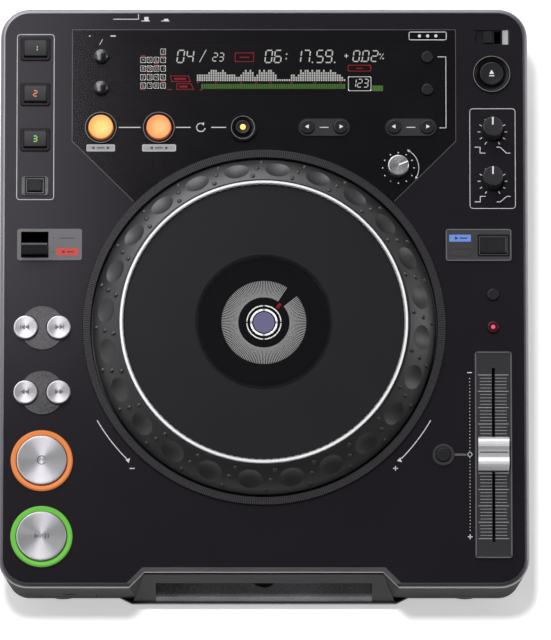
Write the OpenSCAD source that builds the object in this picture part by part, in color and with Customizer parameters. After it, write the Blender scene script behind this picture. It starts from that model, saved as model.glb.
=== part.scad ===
// Tabletop disc deck with a front slot drive, a large jog wheel and a sloping control panel.
// The controls, the jog wheel and the drive are laid out in the panel's own frame:
// u to the right, v up the slope to the rear, w out of the panel, from the jog's centre.

/* [Case] */
// Width of the case over its rim
case_w = 320; // [312:1:335]
// Length of the sloping top, front rim to rear rim
case_d = 358; // [352:1:375]
// Height of the top's front edge over the table
front_h = 69.8; // [66:0.1:80]
// Slope of the top in degrees
slope = 4; // [2:0.5:6]
// Lean of the walls, inwards to the bottom, in degrees
draft = 4.6; // [2:0.1:6]
// Radius of the case's corners
corner_r = 18; // [14:1:24]
// Rounding of the rim's outer edge
edge_r = 2.5; // [1.5:0.1:2.8]
// Width of the rim round the panel
rim_w = 3; // [2.6:0.1:4]
// Wall of the case
wall = 2.5; // [2:0.1:3]
// Height of the joint between upper and lower case
split_h = 13; // [12.5:0.5:15]
// Height of the feet
foot_h = 9; // [7:0.5:12]
// Radius of the feet
foot_r = 24; // [18:1:26]
// Foot centres from the case's sides
foot_in = 38; // [34:1:60]
// Foot centres from the front and rear rims
foot_back = 33.5; // [32:0.5:60]

/* [Panel] */
// Thickness of the control panel
panel_t = 3; // [2.5:0.1:3.5]
// Front edge of the case to the jog's centre
jog_front = 160; // [156:1:170]
// Thickness of raised plates and bezels
plate_t = 1; // [0.8:0.1:1.2]
// Side edges of the display window from the case's sides
window_in = 43.5; // [42:0.5:48]
// Rear edge of the display window from the rear rim
window_back = 13; // [11:0.5:15]
// Thickness of the display window
window_t = 1.2; // [1:0.1:1.5]

/* [Jog wheel] */
// Width of the trim ring outside the jog wheel
trim_w = 6.5; // [5:0.5:7.5]
// Outer radius of the jog wheel
jog_r = 103.5; // [101:0.5:104.5]
// Width of the finger slope, from the wheel's edge to the bright ring
slope_w = 16.5; // [14.5:0.5:19.5]
// Width of the bright ring
ring_w = 2.2; // [1.6:0.1:3]
// Height of the bright ring over the panel
ring_h = 18; // [17:0.1:20]
// Radius of the centre window
centre_r = 41; // [38:0.5:44]
// Number of finger dimples
dimples = 24; // [16:1:28]
// Radius of a finger dimple at the surface
dimple_r = 8; // [6:0.1:8.6]
// Depth of a finger dimple
dimple_deep = 1.5; // [0.8:0.1:1.8]
// Radius of the fixed column that the jog wheel turns on
column_r = 20; // [16:0.5:22]
// Teeth inside the bright ring
ring_teeth = 120; // [60:1:150]

/* [Controls] */
// Centre of the left column of controls from the case's side
left_in = 21.2; // [20:0.1:22.5]
// Centre of the right column of controls from the case's side
right_in = 21.4; // [20.5:0.1:23]
// Centre of the two large keys and of the search keys from the case's side
play_in = 26; // [24.5:0.1:28]
// Spacing of the three left column keys
cue_pitch = 28.2; // [24:0.1:29]
// Travel of the keys
key_travel = 1.5; // [0.8:0.1:1.8]
// Radius of the two large keys
play_r = 15; // [13:0.1:15.5]
// Height of the two large keys over the panel
play_h = 3.2; // [2.4:0.1:5]
// Travel of the fader each way from its centre
fader_throw = 50; // [40:1:52]
// Height of the dark knobs
knob_h = 16; // [12:0.5:18]
// Radius of the dark knobs
knob_r = 6; // [5:0.1:6.5]
// Lean of the direction lever each way in degrees
lever_lean = 14; // [8:1:15]

/* [Drive] */
// Width of the disc slot
slot_w = 124; // [122.5:0.5:126]
// Height of the disc slot
slot_h = 5; // [4.6:0.1:5.4]
// Half width of the front moulding at its top
front_half = 72; // [70:0.5:76]
// Setback of the rim over the front moulding
front_set = 9.5; // [8:0.5:11]

/* [Rear] */
// Radius of a phono socket's outer sleeve
phono_r = 4.15; // [4:0.05:4.3]
// Length of a phono socket's sleeve
phono_long = 9; // [8:0.5:10]
// Radius of the control jack's hole
jack_r = 1.8; // [1.75:0.05:1.9]

/* [Fits] */
// Gap between a key and the edge of its hole
key_gap = 0.3; // [0.2:0.05:0.35]
// Gap between trim pieces laid side by side
trim_gap = 0.2; // [0.1:0.05:0.3]
// Radial clearance of a shaft in its hole
shaft_gap = 0.05; // [0.03:0.01:0.08]
// Gap between a moving piece and its neighbour
run_gap = 0.3; // [0.3:0.05:0.5]

/* [Hidden] */
$fn = 96;

// Radii of the jog wheel and lines of the controls, worked out from the sizes above
trim_r = jog_r + trim_w;
ring_r = jog_r - slope_w;
left_u = left_in - case_w / 2;
right_u = case_w / 2 - right_in;
play_u = play_in - case_w / 2;
window_half = case_w / 2 - window_in;

// Case, worked out from the sizes above
jog_back = case_d - jog_front;
window_top = jog_back - window_back;
jog_z = front_h + jog_front * sin(slope);
rear_h = jog_z + jog_back * sin(slope);
ledge_t = 2;
ledge_w = 3;
rim_deep = panel_t + ledge_t;
socket_z = 42;
socket_deep = (rear_h - socket_z) / cos(slope);
front_reach = (jog_front - edge_r) * cos(slope) - edge_r * sin(slope) + edge_r;
rear_wall = (jog_back - lean(socket_deep)) * cos(slope) + socket_deep * sin(slope);
phono_base = 4;
rear_reach = rear_wall + phono_base + phono_long;
jog_y = (front_reach - rear_reach) / 2;
floor_z = foot_h + wall;
big = 500;

// Screw columns of the case: inset from the sides, and places along the depth
boss_in = 16;
boss_r = 4;
boss_top = 48;
boss_v = [-95, 20, 130];
screw_r = 1.5;
screw_head_r = 3.1;
screw_hole = screw_r + 0.1;
screw_head_t = 2;
screw_sink = 3;
seat_z = 18;

// Front moulding, its recess and the disc slot, by depth below the panel
mould_t = 4.5;
mould_flare = 7.6;
recess_half = 65.4;
recess_top = 21;
recess_low = 47.5;
recess_back = 131;
throat_back = 128;
throat_wall = 2.6;
slot_deep = 26.5;
scoop_r = 10.2;
scoop_v = -141.5;
lip_half = 80;
lip_out = 4;
lip_step = 1;
lip_v = face_v(front_h - split_h) - lip_step;
throat_half = recess_half + throat_wall;
throat_top = recess_top - 3;
throat_low = recess_low + throat_wall;
throat_front = 147;

// Card door in the front wall
card_u = 42.2 - case_w / 2;
card_deep = 54;
card_door_w = 32.6;
card_door_h = 18;
card_door_t = 2;
card_pin_r = 1;
card_pin_long = 1.5;
card_bay_w = 29;
card_bay_h = 13;
card_bay_deep = 11;
pocket_wall = 3.5;
pocket_back = 5.2;
card_slot_w = 25;
card_slot_h = 3;

// Places of the controls: side columns from the case's sides, upper rows from the rear rim or the
// window's rear edge, and the row in front of the window from the trim ring
cue_back = 25.4;
window_col = 17.5;
row_v = trim_r + 13.7;
hot_cue_v = [for (i = [0:2]) jog_back - cue_back - i * cue_pitch];
record_at = [left_u, 87.4];
lever_at = [left_u, 51];
direction_at = [left_u + 9, 51];
track_at = [play_u, -0.5];
search_at = [play_u, -40.5];
search_half = 10;
cue_at = [play_u, -82.4];
play_at = [play_u, -129];
time_at = [window_col - window_half, window_top - 17];
text_at = [window_col - window_half, window_top - 36.7];
loop_in_at = [window_col - window_half, row_v];
loop_out_at = [-63.8, row_v];
loop_exit_at = [-12.8, row_v];
folder_at = [36.5, row_v + 0.2];
call_at = [window_half - 27.4, row_v + 0.2];
pill_half = 10.1;
memory_at = [window_half - window_col + 0.2, window_top - 17.4];
delete_at = [window_half - window_col + 0.2, window_top - 37.6];
adjust_at = [window_half - 35, trim_r - 11.2];
lock_at = [right_u - 0.2, jog_back - 17.8];
eject_at = [right_u - 0.3, jog_back - 41];
brake_at = [right_u, 121.2];
start_at = [right_u, 90.5];
mode_plate_at = [right_u - 8.6, 50.8];
mode_at = [right_u + 0.4, 50.4];
range_at = [right_u, 20];
master_at = [right_u, -0.2];
reset_at = [right_u - 30.2, -78.8];
fader_at = [right_u, -78.8];

// Radii and heights of the keys
time_r = 4.1;
small_r = 3.5;
pill_key_r = 4.2;
loop_r = 7.5;
exit_r = 4.3;
eject_r = 7.1;
reset_r = 4.2;
search_r = 7.1;
small_key_h = 2;
key_h = 3;
cue_cap = [13.7, 10.2];
record_cap = [8.9, 7.5];
mode_cap = [15.6, 9.8];
key_edge = 0.6;
flange_out = 1;
flange_t = 1;
flange_top = panel_t + run_gap;
stem_low = flange_top + flange_t + 0.7;

// Raised plates and bezels
cue_bezel = [16.9, 13.7];
record_bezel = [16, 11.7];
direction_plate = [39.2, 19.5];
mode_plate = [40, 20];
pill_plate = [31, 10.7];
search_disc_r = 13.4;
loop_bezel_r = 9.4;
exit_bezel_r = 8.9;
eject_bezel_r = 11.6;
reset_bezel_r = 6.7;
light_in_r = play_r + 0.6;
light_w = 3.1;
light_h = 1.8;
fader_plate = [22.6, 127];
fader_slot_w = 1.8;
fader_stem = [fader_slot_w - 0.5, 4];
fader_slot_long = 2 * fader_throw + fader_stem[1] + 3;
fader_cap = [18.6, 20.4, 12];

// Lever, lock slider and knobs
lever_size = [15.6, 7.4, 13];
lever_window = [16.6, 16];
lever_pin_r = 1.5;
lever_pin_deep = 9;
lock_size = [5.6, 7];
lock_travel = 4.5;
lock_window = [lock_size[0] + lock_travel + 2 * key_gap, lock_size[1] + 2 * key_gap];
lock_recess = [21.6, 9, 1.4];
shaft_r = 3;
shaft_low = 9;
adjust_r = 6.35;
adjust_h = 8.5;

// Boards behind the panel
board_t = 1.6;
board_top = 10;
switch_half = 3;
pot_half = 6;
board_in = trim_r + 4;
board_edge = case_w / 2 - 8;
board_low = 12 - jog_front;
board_high = jog_back - 10;
spacer_u = max(board_in + 5, case_w / 2 - 41);
spacer_places = concat(
  [for (side = [-1, 1], v = [board_low + 1, -55, 20, 95, board_high - 20]) [side * spacer_u, v]],
  [for (side = [-1, 1]) [side * 50, board_high - 7]],
  [[8, row_v + 12.3]]);
key_places = concat([for (v = hot_cue_v) [left_u, v]],
  [record_at, time_at, text_at, loop_in_at, loop_out_at, loop_exit_at],
  [memory_at, delete_at, eject_at, mode_at, range_at, master_at, reset_at, cue_at, play_at],
  [for (place = [folder_at, call_at], side = [-1, 1]) place + [side * pill_half, 0]],
  [for (place = [track_at, search_at], side = [-1, 1]) place + [side * search_half, 0]]);
display_half = 77;
display_v = [window_top - 40.5, window_top - 9.5];
lever_room = 12;
reset_board = [20, 16];

// Boards on the floor of the case: x, y, width, depth
main_board = [-28, 50, 160, 108];
board_chips = [[20, 24, 28, 28, 3], [64, 30, 22, 14, 3], [100, 20, 36, 26, 10], [96, 66, 40, 18, 8],
  [24, 70, 50, 12, 6]];
power_board = [-134, 56, 98, 96];
power_blocks = [[8, 12, 44, 38, 26], [10, 60, 60, 3, 22]];
power_cans = [[62, 22, 9, 24], [62, 46, 7, 18]];
board_post_z = 20;
board_post_in = 7;
board_post_places = [for (board = [main_board, power_board],
  x = [board_post_in, board[2] - board_post_in], y = [board_post_in, board[3] - board_post_in])
  [board[0] + x, board[1] + y]];
vent_count = 12;
vent_x = -77;
vent_pitch = 14;
vent_w = 3;
vent_y = 66;
vent_long = 40;

// Rear connectors, from left to right seen from above
socket_plate = [276, 30];
socket_screw_in = 5;
socket_screws = [for (x = [-1, 1], z = [-1, 1])
  [x * (socket_plate[0] / 2 - socket_screw_in), socket_z + z * (socket_plate[1] / 2 - socket_screw_in)]];
socket_sink = 1;
inlet_x = -112;
inlet = [16, 9.5, 13];
inlet_pin_half = 4.3;
inlet_pin_long = 8;
power_at = [-75, socket_z];
power_cap = 10;
power_out = 4;
jack_x = 36;
phono_x = [60, 84, 108];
phono_hole_r = 3;

// Jog wheel heights and radii
deck_h = ring_h - 3;
deck_t = 2.5;
well_r = trim_r - 4;
trim_in = jog_r + 1.1;
web_low = 5;
ring_seat = deck_h - 1;
dimple_phase = 10;
skirt_low = 4;
hub_w = 4;
pan_r = trim_r + 2;
pan_top = 10;
pan_t = 2;
slope_foot_h = 1.5;
slope_top_r = ring_r + 1.6;
slope_top_h = deck_h - 0.4;
skin_foot = jog_r - 2;
skin_top = ring_r - 0.3;
slope_bulge_r = 34;
platter_t = 1.2;
centre_ledge = 1.5;
display_r = centre_r - 4;
column_top = 9;
dimple_at_r = jog_r - 7.5;
bump_r = 1.7;
bump_sink = 0.75;
bump_at = [[jog_r - 12.5, 1.7], [jog_r - 7.2, 0], [jog_r - 2.1, -1.7]];
adjust_turn = 22;

// Window over the display: where its side edges turn in to the jog wheel, and how far they run
window_low = trim_r + 5.5;
window_drop = 46;

// Disc drive behind the slot
drive_half = 76;
drive_front = -126.5;
drive_long = 186;
drive_top = 14.5;
drive_low = 43;
drive_t = 1.5;
spindle_back = 66;
spindle_v = drive_front + spindle_back;
disc_plane = slot_deep + 0.6;
roller_r = 4.5;
roller_deep = disc_plane + roller_r + 0.2;
roller_v = drive_front + 9;
roller_shaft_r = 1.5;
turntable_r = 14;
turntable_cone = [7.4, 6.2, 2.6];
turntable_hub_r = 8;
motor_r = 11;
spindle_r = 1;
pickup_v = spindle_v + 25;
pickup_size = [34, 20, 6.5];
pickup_rod_u = 13;
pickup_rod_r = 1.5;
pickup_rod_deep = 33;

function lean(deep) = max(0, deep - edge_r) * tan(draft);
function face_v(deep) = -(jog_front - front_set + deep * tan(mould_flare));

// The panel's frame, and a place on it
module on_panel() {
  translate([0, jog_y, jog_z]) rotate([slope, 0, 0]) children();
}

module at(place, w = 0) {
  on_panel() translate([place[0], place[1], w]) children();
}

// The frame of the leaning front wall, at a depth below the panel
module on_front(u, deep) {
  at([u, lean(deep) - jog_front], -deep) rotate([draft, 0, 0]) children();
}

module above(z) {
  translate([-big / 2, -big / 2, z]) cube([big, big, big]);
}

module rounded(w, d, r) {
  square([w - 2 * r, d], center = true);
  square([w, d - 2 * r], center = true);
  for (x = [-1, 1], y = [-1, 1])
    translate([x * (w / 2 - r), y * (d / 2 - r)]) circle(r);
}

// Section through one side of a block whose wall leans in below a rounded edge
module side_section(reach, deep, edge) {
  foot = reach - (deep - edge) * tan(draft);
  polygon([[0, 0], [reach - edge, 0], [reach, -edge], [foot, -deep], [0, -deep]]);
  if (edge > 0)
    translate([reach - edge, -edge]) circle(edge);
}

module leaning_block(half, back, front, corner, deep, edge) {
  u = half - corner;
  v_high = back - corner;
  v_low = corner - front;
  translate([-u, v_low, -deep]) cube([2 * u, v_high - v_low, deep]);
  for (side = [0, 1]) mirror([side, 0, 0]) {
    translate([u, v_high, 0]) rotate([90, 0, 0]) linear_extrude(v_high - v_low)
      side_section(corner, deep, edge);
    translate([u, v_high, 0]) rotate_extrude(angle = 90) side_section(corner, deep, edge);
    translate([u, v_low, 0]) rotate([0, 0, -90]) rotate_extrude(angle = 90)
      side_section(corner, deep, edge);
  }
  translate([-u, v_high, 0]) rotate([90, 0, 90]) linear_extrude(2 * u) side_section(corner, deep, edge);
  translate([-u, v_low, 0]) mirror([0, 1, 0]) rotate([90, 0, 90]) linear_extrude(2 * u)
    side_section(corner, deep, edge);
}

module case_outside() {
  on_panel() leaning_block(case_w / 2, jog_back, jog_front, corner_r, rear_h, edge_r);
}

module case_inside() {
  inset = wall + lean(rim_deep);
  at([0, 0], -rim_deep) leaning_block(case_w / 2 - inset, jog_back - inset, jog_front - inset,
    corner_r - inset, rear_h, 0);
}

// Outline of the top inside the rim, and of the step in its front edge
module step_plan(grow) {
  half = front_half + grow * tan(22.5);
  v = front_set + grow - jog_front;
  reach = 30;
  polygon([[-half, v], [-half - reach, v - reach], [half + reach, v - reach], [half, v]]);
}

module top_plan(inset) {
  difference() {
    translate([0, (jog_back - jog_front) / 2])
      rounded(case_w - 2 * inset, case_d - 2 * inset, corner_r - inset);
    step_plan(inset);
  }
}

module step_prism(grow, low, high) {
  at([0, 0], low) linear_extrude(high - low) step_plan(grow);
}

// Pocket behind the step's middle that takes the moulding's back
module mould_seat(grow) {
  half = front_half + grow;
  at([-half, front_set - jog_front - 1], -rear_h - 10)
    cube([2 * half, mould_t + grow + 1, rear_h + 10 - rim_deep]);
}

// Columns that take the case screws
module boss_places() {
  for (side = [-1, 1], v = boss_v)
    translate([side * (case_w / 2 - boss_in), jog_y + v * cos(slope), 0]) children();
}

// ---- Case ----
module lower_case() {
  color("#3a373a") difference() {
    union() {
      difference() {
        intersection() {
          union() {
            case_outside();
            step_lip();
          }
          translate([-big / 2, -big / 2, foot_h]) cube([big, big, split_h - foot_h]);
        }
        intersection() {
          case_inside();
          above(floor_z);
        }
      }
      boss_places() translate([0, 0, floor_z - 0.5]) cylinder(r = boss_r + 1, h = seat_z - floor_z + 0.5);
      board_posts() cylinder(r = 3.5, h = board_post_z - floor_z + 0.5);
      drive_posts();
    }
    boss_places() translate([0, 0, foot_h - 1]) {
      cylinder(r = screw_hole, h = seat_z);
      cylinder(r = screw_head_r + 0.3, h = screw_sink + 1);
    }
    vent_slots();
  }
}

// Lip of the lower case under the front moulding
module step_lip() {
  at([0, 0], -rear_h) linear_extrude(rear_h)
    polygon([[-lip_half - 2 * lip_out, lip_v + lip_out], [-lip_half, lip_v], [lip_half, lip_v],
      [lip_half + 2 * lip_out, lip_v + lip_out], [lip_half, lip_v + 3 * lip_out],
      [-lip_half, lip_v + 3 * lip_out]]);
}

module board_posts() {
  for (place = board_post_places)
    translate([place[0], place[1], floor_z - 0.5]) children();
}

// Posts under the drive, cut to its slope
module drive_posts() {
  difference() {
    for (u = [-1, 1], v = [22, drive_long - 24])
      translate([u * (drive_half - 8), jog_y + (drive_front + v) * cos(slope), floor_z - 0.5])
        cylinder(r = 5, h = 60);
    at([-big / 2, -big / 2], -drive_low) cube(big);
  }
}

// Cooling slots in the floor
module vent_slots() {
  for (i = [0:vent_count - 1])
    translate([vent_x + i * vent_pitch - vent_w / 2, vent_y, foot_h - 1]) cube([vent_w, vent_long, wall + 2]);
}

module upper_case() {
  color("#4a484c") difference() {
    union() {
      difference() {
        intersection() {
          case_outside();
          above(split_h);
        }
        difference() {
          case_inside();
          step_prism(wall, -rear_h, 1);
          mould_seat(wall);
        }
        at([0, 0], -rim_deep - 1) linear_extrude(rim_deep + 2) top_plan(rim_w + ledge_w);
        mould_seat(0);
        step_prism(0, -rear_h - 10, 2);
      }
      intersection() {
        case_outside();
        upper_bosses();
      }
    }
    at([0, 0], -panel_t) linear_extrude(panel_t + 1) top_plan(rim_w - trim_gap);
    at([-throat_half - trim_gap, -jog_front], -throat_low - trim_gap)
      cube([2 * (throat_half + trim_gap), jog_front - recess_back, throat_low - throat_top + 2 * trim_gap]);
    card_cavity();
    boss_places() translate([0, 0, seat_z - 1]) cylinder(r = screw_hole, h = 14);
    translate([-socket_plate[0] / 2, jog_y + rear_wall - wall - 5.5, socket_z - socket_plate[1] / 2])
      cube([socket_plate[0], wall + 13.5, socket_plate[1]]);
  }
}

// Columns inside the upper case with a web to the side wall
module upper_bosses() {
  boss_places() translate([0, 0, seat_z]) cylinder(r = boss_r, h = boss_top - seat_z);
  for (side = [0, 1]) mirror([side, 0, 0])
    for (v = boss_v)
      translate([case_w / 2 - boss_in, jog_y + v * cos(slope) - 1, seat_z])
        cube([boss_in, 2, boss_top - seat_z]);
}

module card_cavity() {
  on_front(card_u, card_deep) {
    translate([-card_door_w / 2 - run_gap, -5, -run_gap])
      cube([card_door_w + 2 * run_gap, 5 + card_door_t + run_gap, card_door_h + 2 * run_gap]);
    translate([-card_bay_w / 2, -5, (card_door_h - card_bay_h) / 2 + 0.5])
      cube([card_bay_w, 5 + card_bay_deep, card_bay_h]);
    translate([-card_slot_w / 2, 0, card_door_h / 2]) cube([card_slot_w, 30, card_slot_h]);
    for (side = [-1, 1])
      translate([side * (card_door_w / 2 - 1), card_door_t / 2, card_pin_r]) rotate([0, side * 90, 0])
        cylinder(r = card_pin_r + shaft_gap, h = card_pin_long + 1.3);
  }
}

module card_door() {
  color("#2e2c2f") on_front(card_u, card_deep) difference() {
    union() {
      translate([-card_door_w / 2, 0, card_pin_r]) cube([card_door_w, card_door_t, card_door_h - card_pin_r]);
      translate([0, card_door_t / 2, card_pin_r]) rotate([0, 90, 0])
        cylinder(r = card_door_t / 2, h = card_door_w, center = true);
      translate([0, card_door_t / 2, card_pin_r]) rotate([0, 90, 0])
        cylinder(r = card_pin_r, h = card_door_w + 2 * card_pin_long, center = true);
    }
    translate([0, -6.2, card_door_h - 3]) cylinder(r = 7.5, h = 5);
  }
}

module feet() {
  front_y = jog_y - front_reach + foot_back;
  back_y = jog_y + rear_wall - foot_back;
  color("#1c1b1d") for (side = [-1, 1], y = [front_y, back_y])
    translate([side * (case_w / 2 - foot_in), y, 0]) difference() {
      rotate_extrude()
        polygon([[0, 0], [foot_r - 3, 0], [foot_r - 1, 1.5], [foot_r, 4], [foot_r, foot_h], [0, foot_h]]);
      translate([0, 0, -1]) cylinder(r = foot_r * 0.35, h = 4);
    }
}

module case_screws() {
  color("#2a2a2c") {
    boss_places() translate([0, 0, foot_h + screw_sink - screw_head_t]) {
      cylinder(r = screw_head_r, h = screw_head_t);
      cylinder(r = screw_r, h = seat_z + 10 - foot_h);
    }
    for (place = socket_screws)
      translate([place[0], jog_y + rear_wall - socket_sink, place[1]])
        rotate([-90, 0, 0]) {
          cylinder(r = 2.6, h = 1.6);
          translate([0, 0, -6]) cylinder(r = screw_r, h = 7);
        }
  }
}

// ---- Front mouldings: the disc slot and the pocket behind the card door ----
module moulding_section() {
  back = mould_t + front_set - trim_gap - jog_front;
  polygon([[back, -rim_deep], [face_v(rim_deep), -rim_deep], [face_v(rear_h), -rear_h], [back, -rear_h]]);
}

module recess_section() {
  floor_deep = slot_deep + slot_h / 2 + 3;
  front_v = face_v(recess_low);
  polygon([[front_v - 10, -recess_top], [-recess_back, -recess_top - 1.5], [-recess_back, -floor_deep],
    [front_v, -recess_low], [front_v - 10, -recess_low]]);
}

// A section across the deck, drawn out to both sides of the middle
module across(half) {
  on_panel() translate([-half, 0, 0]) rotate([90, 0, 90]) linear_extrude(2 * half) children();
}

module slot_moulding() {
  color("#2b292c") {
    disc_moulding();
    card_pocket();
  }
}

module disc_moulding() {
  difference() {
    union() {
      intersection() {
        across(front_half + 30) moulding_section();
        union() {
          step_prism(-trim_gap, -rear_h, 0);
          mould_seat(-trim_gap);
        }
        above(split_h);
      }
      at([-throat_half, -throat_front], -throat_low)
        cube([2 * throat_half, throat_front - throat_back, throat_low - throat_top]);
    }
    across(recess_half) recess_section();
    at([-slot_w / 2, -recess_back - 1], -slot_deep - slot_h / 2) cube([slot_w, 10, slot_h]);
    at([0, scoop_v], -throat_low + throat_wall)
      cylinder(r = scoop_r, h = throat_low - throat_wall - slot_deep);
  }
}

// Block with the card's bay and slot, seated on the inside of the front wall
module card_pocket() {
  difference() {
    intersection() {
      on_front(card_u - card_door_w / 2 - pocket_wall, card_deep)
        translate([0, 0, -pocket_wall])
          cube([card_door_w + 2 * pocket_wall, card_bay_deep + pocket_back, card_door_h + 2 * pocket_wall]);
      case_inside();
    }
    card_cavity();
  }
}

// ---- Control panel ----
module hole(place, r) {
  translate([place[0], place[1]]) circle(r);
}

module box_hole(place, size) {
  translate([place[0], place[1]]) square(size, center = true);
}

module window_plan(grow = 0) {
  low = window_low - grow * tan(22.5);
  half = window_half + grow;
  difference() {
    polygon([[-half, window_top + grow], [half, window_top + grow], [half, low],
      [half - window_drop, low - window_drop], [window_drop - half, low - window_drop], [-half, low]]);
    circle(trim_r + trim_gap - grow);
  }
}

module window_holes() {
  hole(time_at, time_r + key_gap);
  hole(text_at, time_r + key_gap);
  hole(loop_in_at, loop_r + key_gap);
  hole(loop_out_at, loop_r + key_gap);
  hole(loop_exit_at, exit_r + key_gap);
  for (side = [-1, 1]) {
    hole(folder_at + [side * pill_half, 0], pill_key_r + key_gap);
    hole(call_at + [side * pill_half, 0], pill_key_r + key_gap);
  }
  hole(memory_at, small_r + key_gap);
  hole(delete_at, small_r + key_gap);
}

module panel_holes() {
  circle(well_r);
  window_holes();
  for (v = hot_cue_v) box_hole([left_u, v], cue_cap + 2 * [key_gap, key_gap]);
  box_hole(record_at, record_cap + 2 * [key_gap, key_gap]);
  box_hole(mode_at, mode_cap + 2 * [key_gap, key_gap]);
  box_hole(lever_at, lever_window);
  box_hole(lock_at, lock_window);
  box_hole(fader_at, [fader_slot_w, fader_slot_long]);
  hole(eject_at, eject_r + key_gap);
  hole(range_at, small_r + key_gap);
  hole(master_at, small_r + key_gap);
  hole(reset_at, reset_r + key_gap);
  for (place = [track_at, search_at], side = [-1, 1])
    hole(place + [side * search_half, 0], search_r + key_gap);
  hole(cue_at, play_r + key_gap);
  hole(play_at, play_r + key_gap);
  for (place = [adjust_at, brake_at, start_at])
    hole(place, shaft_r + shaft_gap);
  translate([-display_half, display_v[0]]) square([2 * display_half, display_v[1] - display_v[0]]);
}

module control_panel() {
  color("#1f1c20") {
    on_panel() difference() {
      translate([0, 0, -panel_t]) linear_extrude(panel_t) difference() {
        top_plan(rim_w);
        panel_holes();
      }
      translate([0, 0, -window_t]) linear_extrude(window_t + 1) window_plan(trim_gap);
      lock_recess_cut();
    }
    for (place = spacer_places)
      at(place, -board_top) cylinder(r = 2.5, h = board_top - panel_t);
    for (side = [-1, 1])
      at(lever_at, 0) difference() {
        translate([side * (lever_size[0] / 2 + 2.4) - 1, -4, -lever_pin_deep - 3])
          cube([2, 8, lever_pin_deep + 3 - panel_t]);
        translate([0, 0, -lever_pin_deep]) rotate([0, 90, 0])
          cylinder(r = lever_pin_r + shaft_gap, h = 40, center = true);
      }
  }
}

// Recess round the lock slider, with sloping ends
module lock_recess_cut() {
  half = lock_recess[0] / 2;
  deep = lock_recess[2];
  translate([lock_at[0], lock_at[1] + lock_recess[1] / 2, 0]) rotate([90, 0, 0])
    linear_extrude(lock_recess[1])
      polygon([[-half - 1, 1], [1.5 - half, -deep], [half - 3, -deep], [half + 2, 1]]);
}

module display_window() {
  color("#17171c", 0.6) at([0, 0], -window_t) linear_extrude(window_t) difference() {
    window_plan();
    window_holes();
    hole(adjust_at, shaft_r + 1);
  }
}

// ---- Boards behind the panel, with the display, the switches and the pots ----
module switch_under(place) {
  translate([place[0] - switch_half, place[1] - switch_half, -board_top])
    cube([2 * switch_half, 2 * switch_half, board_top - stem_low - key_travel - run_gap]);
}

module control_boards() {
  color("#1e5a34") on_panel() difference() {
    union() {
      translate([0, 0, -board_top - board_t]) linear_extrude(board_t) {
        for (side = [0, 1]) mirror([side, 0])
          translate([board_in, board_low]) square([board_edge - board_in, board_high - board_low]);
        translate([-board_in, trim_r + 5]) square([2 * board_in, board_high - trim_r - 5]);
        translate([adjust_at[0] - 9, adjust_at[1] - 8]) square([board_in - adjust_at[0] + 6, 30]);
        translate([reset_at[0] - 8, reset_at[1] - reset_board[1] / 2]) square(reset_board);
      }
      for (place = key_places) switch_under(place);
      for (place = [adjust_at, brake_at, start_at])
        translate([place[0] - pot_half, place[1] - pot_half, -board_top])
          cube([2 * pot_half, 2 * pot_half, 6]);
      translate([fader_at[0] - 7, fader_at[1] - fader_slot_long / 2 - 5, -board_top - 4])
        cube([14, fader_slot_long + 10, 10]);
      translate([0.5 - display_half, display_v[0] + 0.5, -board_top])
        cube([2 * display_half - 1, display_v[1] - display_v[0] - 1, board_top - window_t - 0.3]);
    }
    for (place = [adjust_at, brake_at, start_at])
      translate([place[0], place[1], -shaft_low - run_gap]) cylinder(r = shaft_r + shaft_gap, h = 10);
    translate([fader_at[0] - 1.6, fader_at[1] - fader_slot_long / 2, -board_top - 2])
      cube([3.2, fader_slot_long, 20]);
    translate([lever_at[0] - lever_room, lever_at[1] - lever_room, -board_top - 5])
      cube([2 * lever_room, 2 * lever_room, 10]);
    translate([lock_at[0] - 6, lock_at[1] - 5, -board_top - 5]) cube([12 + lock_travel, 10, 10]);
  }
}

// ---- Jog wheel ----
module jog_trim_ring() {
  color("#2c2a2d") on_panel() rotate_extrude($fn = 180)
    polygon([[trim_in, -skirt_low - 2], [well_r - 0.1, -skirt_low - 2], [well_r - 0.1, 0], [trim_r, 0],
      [trim_r, 0.8], [trim_r - 1, 1.6], [trim_in + 0.5, 1.6], [trim_in, 1.1]]);
}

module slope_section() {
  mid = [(jog_r + slope_top_r) / 2, (slope_foot_h + slope_top_h) / 2];
  run = jog_r - slope_top_r;
  rise = slope_top_h - slope_foot_h;
  chord = sqrt(run * run + rise * rise);
  back = sqrt(slope_bulge_r * slope_bulge_r - chord * chord / 4);
  intersection() {
    polygon([[slope_top_r - 10, 0], [jog_r, 0], [jog_r, slope_top_h], [slope_top_r - 10, slope_top_h]]);
    translate(mid - back / chord * [rise, run]) circle(slope_bulge_r);
  }
}

function slope_h(r) =
  let (mid = [(jog_r + slope_top_r) / 2, (slope_foot_h + slope_top_h) / 2],
    run = jog_r - slope_top_r, rise = slope_top_h - slope_foot_h, chord = sqrt(run * run + rise * rise),
    back = sqrt(slope_bulge_r * slope_bulge_r - chord * chord / 4), centre = mid - back / chord * [rise, run])
  centre[1] + sqrt(slope_bulge_r * slope_bulge_r - pow(r - centre[0], 2));

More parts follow.
